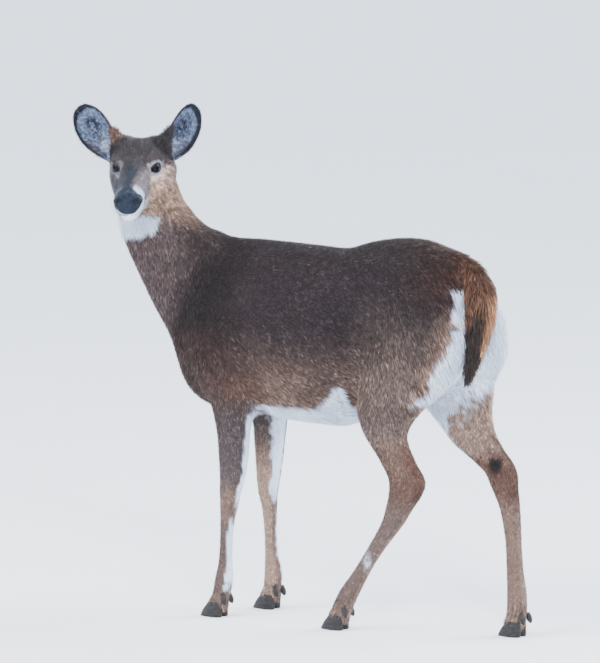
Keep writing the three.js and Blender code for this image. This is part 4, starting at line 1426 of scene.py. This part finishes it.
# painted shade: the nostrils darkened where they open into the nose
nostril = near_path(own, [(262, 25, -25), (264, 20, -18), (266, 14, -20)]) / (4.5 * MM)
body_paint = over(body_paint, 0.3 * NOSE_BLUE, np.exp(-(nostril**2)) * (own[:, 0] > 240 * MM))
pad_faces = (on_pad[body_faces].mean(axis=1) > 0.5).astype(int)
skin_parts = [(body_points, body_faces, body_paint, pad_faces)]
for side in (1, -1):
    points, faces, out = lid_ring(side)
    faces = triangles(faces)
    colour = head_colour(points)
    colour = over(colour, CROWN, 0.9 * fade(out, 0.16, 0.04))
    skin_parts.append((points, faces, colour, np.zeros(len(faces), int)))
for points, faces, facts in ear_meshes.values():
    faces = triangles(outwards(points, faces))
    skin_parts.append((points, faces, ear_colour(points, facts), np.zeros(len(faces), int)))

starts = np.cumsum([0] + [len(part[0]) for part in skin_parts])
skin = put(
    "skin",
    np.concatenate([part[0] for part in skin_parts]),
    np.concatenate([part[1] + start for part, start in zip(skin_parts, starts)]),
    [SHORT_COAT, NOSE],
    np.concatenate([part[2] for part in skin_parts]),
    np.concatenate([part[3] for part in skin_parts]),
    slot="coat",
)
FLESH = [name for name in frame["nodes"] if not name.startswith(("eye_", "hoof_", "dewclaw_"))]
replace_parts(skin, *FLESH)
print("skin:", len(skin.data.polygons), "triangles, stands for", len(FLESH), "nodes")

# %% Eyeballs and the edges of the lids
for side, name in ((1, "left"), (-1, "right")):
    points, faces, place = eyeball(side)
    ball_piece = put(f"eyeball_{name}", points, faces, [EYE_GLOSS], iris_colour(place), slot="eye")
    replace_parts(ball_piece, f"eye_{name}")
    put(f"lid_edge_{name}", *rim_tube(side), [LID_EDGE], slot="coat")

# %% [markdown]
# ## Hooves
# A hoof is two claws of horn, flat below and pointed in front, with the two small dewclaws behind. Each is
# the frame's own loft with many more sections, and growth rings that stand a quarter millimetre proud.

# %% Claws of horn
HOOF_LENGTH, HOOF_HALF_WIDTH, HOOF_HEIGHT, DEWCLAW_LENGTH = 62, 11.5, 36, 26
HOOF_ROWS = [
    [0, 0, 0, HOOF_LENGTH / 2, HOOF_HALF_WIDTH, HOOF_HALF_WIDTH, 2],
    [18, 5, 0, HOOF_LENGTH / 2 - 5, HOOF_HALF_WIDTH - 0.5, HOOF_HALF_WIDTH - 0.5, 2],
    [HOOF_HEIGHT, 12, 0, HOOF_LENGTH / 2 - 13, HOOF_HALF_WIDTH - 3, HOOF_HALF_WIDTH - 3, 2],
]
DEWCLAW_ROWS = [
    [0, 0, 0, 5.5, 5.5, 5.5, 2],
    [DEWCLAW_LENGTH * 0.5, 0, 0, 7.5, 6.5, 6.5, 2],
    [DEWCLAW_LENGTH * 0.85, 0, 0, 4.8, 4.2, 4.2, 2],
    [DEWCLAW_LENGTH, 0, 0, 0.8, 0.8, 0.8, 2],
]
TOES = {"front_left": (-5, -84), "front_right": (36, 78), "hind_left": (334, -74), "hind_right": (730, 78)}
CLAW_RINGS, CLAW_SPOKES = 41, 40


def claw_surface(rows, origin, axes, point=0.0, sole=False):
    """The loft's ovals, wider behind by the factor 1 + point·cos(angle), with fine rings of growth."""
    table = np.array(rows, float)
    t = np.linspace(table[0, 0], table[-1, 0], CLAW_RINGS)
    row = through_rows(table, t) * MM
    turn = circle(CLAW_SPOKES)
    ring = 1 + 0.012 * np.sin(t * 1.9 + 0.7 * np.sin(t * 0.6))
    if sole:
        ring *= 1 - 0.06 * np.exp(-((t / 1.6) ** 2))
    c, s = np.cos(turn), np.sin(turn)
    x = row[:, 1:2] + row[:, 3:4] * ring[:, None] * c
    y = row[:, 2:3] + row[:, 4:5] * ring[:, None] * s * (1 + point * c)
    z = np.broadcast_to(row[:, :1], x.shape)
    body = np.stack([z, x, y], axis=-1) @ np.array(axes, float) + np.array(origin) * MM
    ends = body[[0, -1]].mean(axis=1)
    points = np.concatenate([body.reshape(-1, 3), ends])
    return points, outwards(points, closed_tube(CLAW_RINGS, CLAW_SPOKES))


for leg, (x, y) in TOES.items():
    for claw, across in (("outer", np.sign(y)), ("inner", -np.sign(y))):
        middle = (x, y + across * (HOOF_HALF_WIDTH + 0.8), 0)
        made = claw_surface(HOOF_ROWS, middle, UPRIGHT, 0.3, True)
        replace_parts(put(f"claw_{leg}_{claw}", *made, [HORN], slot="horn"), f"hoof_{leg}_{claw}")
        along = unit(np.array([0.32, across * 0.12, -0.95]))
        up = unit(np.cross(along, (0, 1, 0)))
        made = claw_surface(DEWCLAW_ROWS, (x + 35, y + across * 13, 56), (along, np.cross(up, along), up))
        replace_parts(put(f"small_claw_{leg}_{claw}", *made, [HORN], slot="horn"), f"dewclaw_{leg}_{claw}")
print("claws: 16")

# %% [markdown]
# ## The lie of the coat
# Hair grows away from the nose: back over the head, down the neck, back and down over the trunk, down the
# legs. Each part has its own direction, blended by the same shares as the colours, and pressed flat on
# the skin by taking away what points along the normal.


# %% Which way, how long, how flat
def along_skin(lie, normals):
    """Directions pressed flat: each less its part along the normal, made one long."""
    return unit(lie - normals * (lie * normals).sum(axis=1, keepdims=True))


def lie_of_coat(points, normals, part_shares):
    """The share-weighted sum of the parts' directions, a little stirred by noise, pressed flat."""
    x, _, z = (points / MM).T
    rear, breast = fade(x, 560, 680), fade(x, 10, -90)
    rearward, upward = 1 - 0.55 * rear - 0.8 * breast, -0.38 - 0.7 * rear - 0.8 * breast
    trunk = np.stack([rearward, np.zeros(len(x)), upward], axis=1)
    throat = fade(normals[:, 0], -0.3, -0.9)
    neck = np.stack([0.5 - 0.5 * throat, 0.22 - 0.15 * throat, np.full(len(x), -0.9)], axis=1)
    own = to_head(points)
    head = np.stack([np.full(len(x), -1.0), 2.2 * own[:, 1], 0.6 * own[:, 2] - 0.1], axis=1) @ HEAD_AXES
    total = trunk * part_shares[:, :1] + neck * part_shares[:, 1:2] + unit(head) * part_shares[:, 2:3]
    for k, name in enumerate(LEGS):
        back = np.interp(z, [0, 420, 560, 800], [0.12, 0.12, 0.42, 0.75])
        if name == "hind_left":
            back = np.interp(z, [0, 90, 330, 400, 480, 600, 800], [-0.3, -0.6, -0.6, 0.3, 0.1, 0.5, 0.8])
        leg = np.stack([back, 0 * x, np.full(len(x), -1.0)], axis=1)
        total += leg * part_shares[:, 3 + k : 4 + k]
    t, side, _ = LOFTS["tail"].local(points)
    fan = (side - LOFTS["tail"].at(t, 1)) / LOFTS["tail"].at(t, 3)
    tail = TAIL_ALONG + 0.4 * fan[:, None] * TAIL_AXES[1]
    total += tail * part_shares[:, 7:8]
    total += 0.22 * np.stack([noise(points, 55, s) - 0.5 for s in (20, 21, 22)], axis=1)
    return along_skin(total, normals)


def coat_length(points, part_shares, colour):
    """Millimetres: longest on the tail, the rump and the belly, shortest on the face and the feet."""
    x, _, z = (points / MM).T
    own = to_half_head(points) / MM
    white = fade(colour.mean(axis=1), 0.45, 0.75)
    trunk = 14 + 12 * white + 3 * fade(x, 420, 560) + 11 * fade(x, 600, 660)
    trunk += 12 * fringe_share(points)
    neck = np.interp(z, [600, 850, 1000], [14, 13, 11]) + 9 * white
    eye = np.linalg.norm(own - EYE_CENTRE[1] / MM, axis=1)
    head = np.interp(own[:, 0], [-20, 40, 100, 150, 262], [17, 13, 9, 6.5, 3.6])
    head += 6 * fade(own[:, 2], -40, -66) * fade(own[:, 0], 220, 120)
    head *= np.interp(eye, [20, 24, 40], [0.4, 0.6, 1.0])
    leg = np.interp(z, [30, 60, 90, 300, 420, 540, 660], [12, 11, 7.5, 8, 9, 12, 15])
    leg += 10 * white * fade(z, 480, 620)
    leg += 12 * fringe_share(points) * fade(z, 520, 600)
    tail = np.interp(z, [620, 680, 780, 840, 890], [24, 34, 40, 26, 18])
    return (part_shares * np.stack([trunk, neck, head, leg, leg, leg, leg, tail], axis=1)).sum(axis=1)


# %% [markdown]
# ## Tufts
# A tuft is a thin spike with three sides. The long ones of the tail, the rump and the fringe are bent: a
# base of three points, a waist of three and one tip, ten triangles in all. All the others are straight,
# four triangles. Each starts below the skin, leans along the lie of the coat and lifts its tip by a few
# millimetres. Its colour is the skin's own, darker at the root, with a pale or a dark tip, as grizzled hair
# has. Neighbours are darker or paler together, in clumps of a few millimetres, which gives the coat grain.

# %% One tuft as a pattern
BENT_FACES = np.array([
    [0, 2, 1], [0, 1, 4], [0, 4, 3], [1, 2, 5], [1, 5, 4],
    [2, 0, 3], [2, 3, 5], [3, 4, 6], [4, 5, 6], [5, 3, 6],
])  # fmt: skip
STRAIGHT_FACES = np.array([[0, 2, 1], [0, 1, 3], [1, 2, 3], [2, 0, 3]])
# a pattern is its faces, then each point's place along the tuft and across it
BENT = (BENT_FACES, np.array([0, 0, 0, 0.5, 0.5, 0.5, 1.0]), np.array([0, 1, 0.5, 0, 1, 0.5, 0.5]))
STRAIGHT = (STRAIGHT_FACES, np.array([0, 0, 0, 1.0]), np.array([0, 1, 0.5, 0.5]))
CHANCE = np.random.default_rng(7)
ROOT_DEPTH = 1.2 * MM
PALE_TIPS = 0.3  # the share of tufts whose tip is pale
CLUMP_SIZE, CLUMP_CONTRAST = 4.2, 2.2  # mm, and the power of e between the darkest and the palest clump
MOST_TRIANGLES = 196_000  # in one piece of the coat
PATCH = 0.003  # how wide a tuft's patch of the bake map is


def spread(points, faces, density_of, cell):
    """Random points on triangles, by area, then no more than one in each cube of cell mm: even, but not in
    rows. Returns each point's triangle and its three weights."""
    a, b, c = (points[faces[:, k]] for k in (0, 1, 2))
    area = np.linalg.norm(np.cross(b - a, c - a), axis=1) / 2 * density_of
    wanted = int(area.sum() / (cell * MM) ** 2 * 5)
    face = np.repeat(np.arange(len(faces)), CHANCE.poisson(area / area.sum() * wanted))
    face = CHANCE.permutation(face)
    u, v = CHANCE.random(len(face)), CHANCE.random(len(face))
    over_edge = u + v > 1
    u, v = np.where(over_edge, 1 - u, u), np.where(over_edge, 1 - v, v)
    weights = np.stack([1 - u - v, u, v], axis=1)
    places = (points[faces[face]] * weights[..., None]).sum(axis=1)
    cube = np.floor(places / (cell * MM)).astype(np.int64) @ np.array(PRIMES)
    _, first = np.unique(cube, return_index=True)
    return face[first], weights[first]


def blend(values, faces, face, weights):
    """A value of the corners carried to a point inside a triangle by its weights."""
    corner = values[faces[face]]
    return (corner * weights.reshape(weights.shape + (1,) * (corner.ndim - 2))).sum(axis=1)


def grizzled(root, colour, along):
    """Each tuft's colours at its points' places along it. Only a dark coat has dark roots and pale or dark
    tips; white hair stays nearly even. Brightness varies from tuft to tuft by chance, and in clumps."""
    shade = np.exp(CHANCE.normal(-0.03, 0.36, (len(root), 1)))
    pale = CHANCE.random((len(root), 1)) < PALE_TIPS
    brightness = np.mean(colour, axis=1, keepdims=True)
    dark_coat = fade(brightness, 0.40, 0.08) * fade(brightness, 0.008, 0.03)
    shade *= np.exp(CLUMP_CONTRAST * (noise(root, CLUMP_SIZE, 31)[:, None] - 0.5))
    shade = 1 + (shade - 1) * (0.25 + 0.75 * fade(brightness, 0.7, 0.4))
    tip = 1 + dark_coat * np.where(pale, 1.7, -0.35)
    root_shade = 1 - 0.38 * dark_coat - 0.10 * (1 - dark_coat)
    lower, upper = np.clip(along * 2, 0, 1), np.clip(along * 2 - 1, 0, 1)
    bands = root_shade + (1 - root_shade) * lower + (tip - 1) * upper
    return np.clip(colour[:, None, :] * (shade * bands)[..., None], 0, 0.95)


def tufts(root, normal, lie, length, width, lift, colour, place, bent=False):
    """Points, faces, colours and bake places, one row a tuft. lift is the angle at the root; past the waist
    a bent tuft lies flatter. The three corners of a ring are at either side and on top."""
    side = unit(np.cross(normal, lie))
    length, width, lift = (np.asarray(v)[:, None] * s for v, s in ((length, MM), (width, MM), (lift, 1)))
    rise = lie * np.cos(lift) + normal * np.sin(lift)
    base = root - normal * ROOT_DEPTH
    over_base = normal * width * 0.45
    spots = [base - side * width / 2, base + side * width / 2, base + over_base]
    if bent:
        rest = lie * np.cos(0.35 * lift) + normal * np.sin(0.35 * lift)
        waist = base + rise * length * 0.5
        spots += [waist - side * width * 0.4, waist + side * width * 0.4, waist + over_base * 0.8]
        spots += [waist + rest * length * 0.5]
    else:
        spots += [base + rise * length]
    points = np.stack(spots, axis=1)
    pattern, along, across = BENT if bent else STRAIGHT
    faces = pattern + np.arange(len(root))[:, None, None] * len(along)
    bake = place[:, None, :] + PATCH * (np.stack([across, along], axis=1) - 0.5)
    return points, faces, grizzled(root, colour, along), bake


# %% A place for every part in the bake map
CHARTS = {  # left, bottom, width, height in the unit square
    "trunk": (0.01, 0.50, 0.62, 0.49),
    "neck": (0.64, 0.62, 0.35, 0.37),
    "head": (0.64, 0.30, 0.35, 0.31),
    "front_left": (0.01, 0.26, 0.30, 0.23),
    "front_right": (0.32, 0.26, 0.31, 0.23),
    "hind_left": (0.01, 0.01, 0.30, 0.24),
    "hind_right": (0.32, 0.01, 0.31, 0.24),
    "tail": (0.64, 0.15, 0.35, 0.14),
    "ears": (0.64, 0.01, 0.35, 0.13),
}


def on_the_map(points, part_shares):
    """The skin unrolled: each part like a tube slit down its far side, its angle round the axis across, its
    place along the axis upwards, in the chart of the part the point belongs to most."""
    owner = part_shares.argmax(axis=1)
    place = np.zeros((len(points), 2))
    for k, name in enumerate(PARTS):
        mine = owner == k
        loft = LOFTS[name]
        t, side, up = loft.local(points[mine])
        angle = np.arctan2(up - loft.at(t, 2), side - loft.at(t, 1))
        left, bottom, wide, high = CHARTS[name]
        share = np.clip((t - loft.start) / (loft.end - loft.start), 0, 1)
        place[mine, 0] = left + wide * (0.01 + 0.98 * (angle / (2 * np.pi) + 0.5))
        place[mine, 1] = bottom + high * (0.01 + 0.98 * share)
    return place


def put_coat(name, made):
    """Puts tufts in the scene as pieces of fewer than 200,000 triangles, each with its bake map."""
    points, faces, colours, bake = made
    total, size = faces.shape[:2]
    pieces = int(np.ceil(total * size / MOST_TRIANGLES))
    for k in range(pieces):
        part = slice(total * k // pieces, total * (k + 1) // pieces)
        own_faces = (faces[part] - part.start * points.shape[1]).reshape(-1, 3)
        own_points, own_colours = points[part].reshape(-1, 3), colours[part].reshape(-1, 3)
        piece = put(f"{name}_{k + 1}", own_points, own_faces, [HAIR], own_colours, slot="coat")
        layer = piece.data.uv_layers.new(name="OFBake")
        places = bake[part].reshape(-1, 2)[own_faces.ravel()]
        layer.data.foreach_set("uv", places.astype(np.float32).ravel())
    print(f"{name}: {total} tufts, {total * size} triangles in {pieces} pieces")
    return total * size


# %% The coat of the trunk, the neck and the thighs
# nothing grows on the nose, inside the lids and on the hooves
bare = on_pad
for side in (1, -1):
    away = to_head(body_points) - EYE_CENTRE[side]
    towards = unit(away) @ gaze_axes(side)[0]
    bare = np.maximum(bare, (np.linalg.norm(away, axis=1) < 24 * MM) & (towards > np.cos(np.radians(66))))
bare = np.maximum(bare, fade(body_points[:, 2], 16 * MM, 12 * MM))
length_here = coat_length(body_points, body_shares, body_paint)
face_bare = bare[body_faces].mean(axis=1)
face_length = length_here[body_faces].mean(axis=1)
print("coat length:", np.round(length_here.min(), 1), "to", np.round(length_here.max(), 1), "mm")


def grow(name, chosen, cell, bent=False):
    """Tufts on the chosen faces of the skin, in the order of their places on the bake map."""
    face, weights = spread(body_points, body_faces, chosen * (face_bare < 0.5), cell)
    root = blend(body_points, body_faces, face, weights)
    normal = unit(blend(body_normals, body_faces, face, weights))
    part_shares = shares(part_reaches(root))
    colour = markings(root, normal, part_shares)
    n = len(root)
    lie = lie_of_coat(root, normal, part_shares)
    lie = along_skin(unit(lie + 0.13 * CHANCE.normal(size=(n, 3))), normal)
    length = coat_length(root, part_shares, colour) * CHANCE.uniform(0.75, 1.2, n)
    wide = np.interp(length, *WIDTHS)
    angle = np.radians(np.interp(length, *LIFTS)) * CHANCE.uniform(0.75, 1.25, n)
    place = on_the_map(root, part_shares)
    order = np.argsort(place[:, 1] + part_shares.argmax(axis=1), kind="stable")
    made = tufts(*[v[order] for v in (root, normal, lie, length, wide, angle, colour, place)], bent)
    return put_coat(name, made)


# by a tuft's length in mm: how wide it is, in mm, and how far it lifts, in degrees
WIDTHS = ([3, 8, 16, 30, 50], [0.9, 1.3, 1.7, 2.4, 3.1])
LIFTS = ([4, 12, 26, 46], [24, 23, 22, 20])
LONG_FROM, SHORT_TO, FACE_TO = 23, 12, 13  # mm of length that part the four kinds of coat
on_the_head = on_head(body_points[body_faces[:, 0]]) & (face_length <= FACE_TO)
long_hair = (face_length > LONG_FROM) & ~on_the_head
short_hair = (face_length <= SHORT_TO) & ~on_the_head
coat_total = grow("coat_long", long_hair, 3.9, bent=True)
coat_total += grow("coat_body", ~long_hair & ~short_hair & ~on_the_head, 2.55)
coat_total += grow("coat_legs", short_hair, 2.5)
coat_total += grow("coat_head", on_the_head, 1.7)
print("coat so far:", coat_total, "triangles")


# %% The coat of the ears
def grow_on_ear(name, ear, mesh):
    """Short fur on the back, longer pale hair inside that leans from the rims over the cup."""
    points, faces, facts = mesh
    faces = triangles(outwards(points, faces))
    normals = face_normals(points, faces)
    along, _, across = ear_axes(ear)
    face, weights = spread(points, faces, np.ones(len(faces)), 1.6)
    root, fact = blend(points, faces, face, weights), blend(facts, faces, face, weights)
    normal = unit(blend(normals, faces, face, weights))
    share, turn, front = fact.T
    outside = share > 0.03
    inner = front > 0.5
    over_cup = -0.75 * np.sign(turn) * fade(np.abs(turn), 0.25, 0.7) * fade(share, 0.95, 0.5)
    lean = np.where(inner, over_cup, 0.12 * turn)
    lie = along_skin(along + lean[:, None] * across + 0.16 * CHANCE.normal(size=root.shape), normal)
    length_inside = np.interp(share, [0, 0.3, 0.7, 1], [18, 15, 10, 5])
    length_behind = np.interp(share, [0, 0.3, 1], [15, 8, 4.5])
    length = np.where(inner, length_inside, length_behind) * CHANCE.uniform(0.7, 1.25, len(root))
    angle = np.radians(np.where(inner, 20, 17)) * CHANCE.uniform(0.7, 1.3, len(root))
    width = np.where(inner, 1.0, 1.1)
    left, bottom, wide, high = CHARTS["ears"]
    half = 0.5 * wide * (name == "ear_right")
    from_left = left + half + 0.24 * wide * (0.5 + 0.48 * turn) + 0.25 * wide * inner
    place = np.stack([from_left, bottom + high * (0.02 + 0.96 * np.clip(share, 0, 1))], axis=1)
    colour = ear_colour(root, fact)
    made = tufts(*[v[outside] for v in (root, normal, lie, length, width, angle, colour, place)])
    return put_coat(f"coat_{name}", made)


for name, ear in EARS.items():
    coat_total += grow_on_ear(name, ear, ear_meshes[name])


# %% The coat of the lids, the lashes and the whiskers
def grow_on_lid(side):
    """The shortest fur, which leans away from the eye and back along the head."""
    points, faces, out = lid_ring(side)
    faces = triangles(faces)
    outward = unit(np.gradient(points.reshape(RINGS, AROUND, 3), axis=0).reshape(-1, 3))
    normals = face_normals(points, faces)
    middle = from_head(EYE_CENTRE[side])
    face, weights = spread(points, faces, (out[faces[:, 0]] > 0.12) * 1.0, 1.25)
    root, away = blend(points, faces, face, weights), blend(outward, faces, face, weights)
    normal = unit(blend(normals, faces, face, weights))
    normal *= np.sign(((root - middle) * normal).sum(axis=1, keepdims=True))
    part_shares = shares(part_reaches(root))
    lie = unit(away + 0.7 * lie_of_coat(root, normal, part_shares) + 0.15 * CHANCE.normal(size=root.shape))
    n = len(root)
    length = np.interp(blend(out, faces, face, weights), [0.1, 0.5, 1], [1.8, 3.2, 4.6])
    length = length * CHANCE.uniform(0.8, 1.2, n)
    width, lift = np.full(n, 0.75), np.radians(np.full(n, 16.0))
    place = on_the_map(root, part_shares)
    return tufts(root, normal, along_skin(lie, normal), length, width, lift, head_colour(root), place)


def stiff_hairs(root, normal, aim, length, width):
    """Black hairs of one width that stand straight out along aim."""
    n = len(root)
    place = on_the_map(root, shares(part_reaches(root)))
    return tufts(root, normal, aim, length, np.full(n, width), np.zeros(n), plain(BLACK, n), place)


def lashes(side):
    """A row of dark lashes along the upper lid that point out and up."""
    phi = np.radians(CHANCE.uniform(12, 168, 64))
    a, b = almond(phi, 0.05)
    _, outer, lift = gaze_axes(side)
    way = ways(side, a, b)
    root = from_head(EYE_CENTRE[side] + way * (EYE_RADIUS + 1.6 * MM))
    aim = unit(way + 0.25 * lift + 0.35 * outer + 0.12 * CHANCE.normal(size=way.shape)) @ HEAD_AXES
    normal = unit(np.cross(aim, outer @ HEAD_AXES))
    length = 8.5 * np.sin(phi) ** 0.4 * CHANCE.uniform(0.75, 1.15, len(phi))
    return stiff_hairs(root, normal, aim, length, 0.5)


def whiskers():
    """A few long stiff hairs on the lips and the chin."""
    along, _, up = (to_head(body_points) / MM).T
    near_lips = (along > 205) & (along < 258) & (up < -18) & (up > -72) & (on_pad < 0.1)
    face, weights = spread(body_points, body_faces, near_lips[body_faces[:, 0]] * 1.0, 11)
    root = blend(body_points, body_faces, face, weights)
    normal = unit(blend(body_normals, body_faces, face, weights))
    lie = lie_of_coat(root, normal, shares(part_reaches(root)))
    aim = unit(0.8 * normal + 0.7 * lie + 0.15 * CHANCE.normal(size=root.shape))
    across = unit(np.cross(aim, normal))
    return stiff_hairs(root, np.cross(across, aim), aim, CHANCE.uniform(16, 30, len(root)), 0.4)


for name, made in (
    ("coat_lid_left", grow_on_lid(1)),
    ("coat_lid_right", grow_on_lid(-1)),
    ("coat_lash_left", lashes(1)),
    ("coat_lash_right", lashes(-1)),
    ("coat_whiskers", whiskers()),
):
    coat_total += put_coat(name, made)
print("whole coat:", coat_total, "triangles")

# %% [markdown]
# ## Floor, light and camera
# Overcast winter light comes from everywhere, so the world is a pale, slightly blue glow, with one large
# soft lamp high behind the camera for shape. The camera stands 14 m off with a long lens, as for wildlife.

# %% Stage
def floor_material():
    """Matt, pale, with a faint unevenness."""
    material, nodes, links, shader = new_material("pale_floor")
    cloud = noise_on_object(nodes, links, 1.2)
    ramp = nodes.new("ShaderNodeValToRGB")
    ramp.color_ramp.elements[0].color = (0.84, 0.86, 0.89, 1)
    ramp.color_ramp.elements[1].color = (0.90, 0.92, 0.94, 1)
    links.new(cloud.outputs["Fac"], ramp.inputs["Fac"])
    links.new(ramp.outputs["Color"], shader.inputs["Base Color"])
    shader.inputs["Roughness"].default_value = 0.9
    return material


FLOOR_HALF = 120.0
corners = np.array([[-1, -1, 0], [1, -1, 0], [1, 1, 0], [-1, 1, 0]]) * FLOOR_HALF
floor_mesh = bpy.data.meshes.new("floor")
floor_mesh.from_pydata(corners.tolist(), [], [(0, 1, 2, 3)])
floor_mesh.materials.append(floor_material())
floor = bpy.data.objects.new("floor", floor_mesh)
bpy.context.collection.objects.link(floor)

world = bpy.data.worlds.new("winter sky")
world.use_nodes = True
sky = world.node_tree.nodes["Background"]
sky.inputs["Color"].default_value = (0.80, 0.88, 1.0, 1)
sky.inputs["Strength"].default_value = 2.7
bpy.context.scene.world = world


def lamp(name, where, aim, size, power, colour):
    """A square soft lamp that looks from where to aim."""
    data = bpy.data.lights.new(name, "AREA")
    data.shape, data.size, data.energy, data.color = "SQUARE", size, power, colour
    made = bpy.data.objects.new(name, data)
    made.location = where
    made.rotation_mode = "QUATERNION"
    made.rotation_quaternion = (Vector(aim) - Vector(where)).to_track_quat("-Z", "Y")
    bpy.context.collection.objects.link(made)


lamp("soft_key", (-2.5, -4.5, 5.0), (0, 0, 0.6), 4.0, 600, (1.0, 0.97, 0.93))
lamp("soft_rim", (3.5, 3.5, 4.0), (0, 0, 0.8), 3.0, 430, (0.9, 0.95, 1.0))
lamp("eye_light", (3.2, -3.6, 3.6), (-0.4, -0.1, 1.05), 0.8, 200, (1.0, 1.0, 1.0))

# %% Camera
CAMERA_TURN, CAMERA_LIFT, CAMERA_FAR = np.radians(34), np.radians(7), 14.0
MILLIMETRE_LENS = 320
back = np.array([
    np.sin(CAMERA_TURN) * np.cos(CAMERA_LIFT),
    -np.cos(CAMERA_TURN) * np.cos(CAMERA_LIFT),
    np.sin(CAMERA_LIFT),
])  # fmt: skip
right = unit(np.cross(ZENITH, back))
up = np.cross(back, right)
withers = np.array([0, 0, 0.9])
PIXELS_PER_METRE = 421
RIGHT_OF_WITHERS, BELOW_WITHERS = 65, 94.5  # the middle of the render, in its pixels
aim = withers + right * RIGHT_OF_WITHERS / PIXELS_PER_METRE - up * BELOW_WITHERS / PIXELS_PER_METRE
camera_data = bpy.data.cameras.new("camera")
camera_data.lens = MILLIMETRE_LENS
camera_data.clip_end = 500
camera = bpy.data.objects.new("camera", camera_data)
camera.location = aim + back * CAMERA_FAR + SHIFT
camera.rotation_mode = "QUATERNION"
camera.rotation_quaternion = Vector(back).to_track_quat("Z", "Y")
bpy.context.collection.objects.link(camera)
bpy.context.scene.camera = camera
print("camera at", np.round(np.array(camera.location), 2))
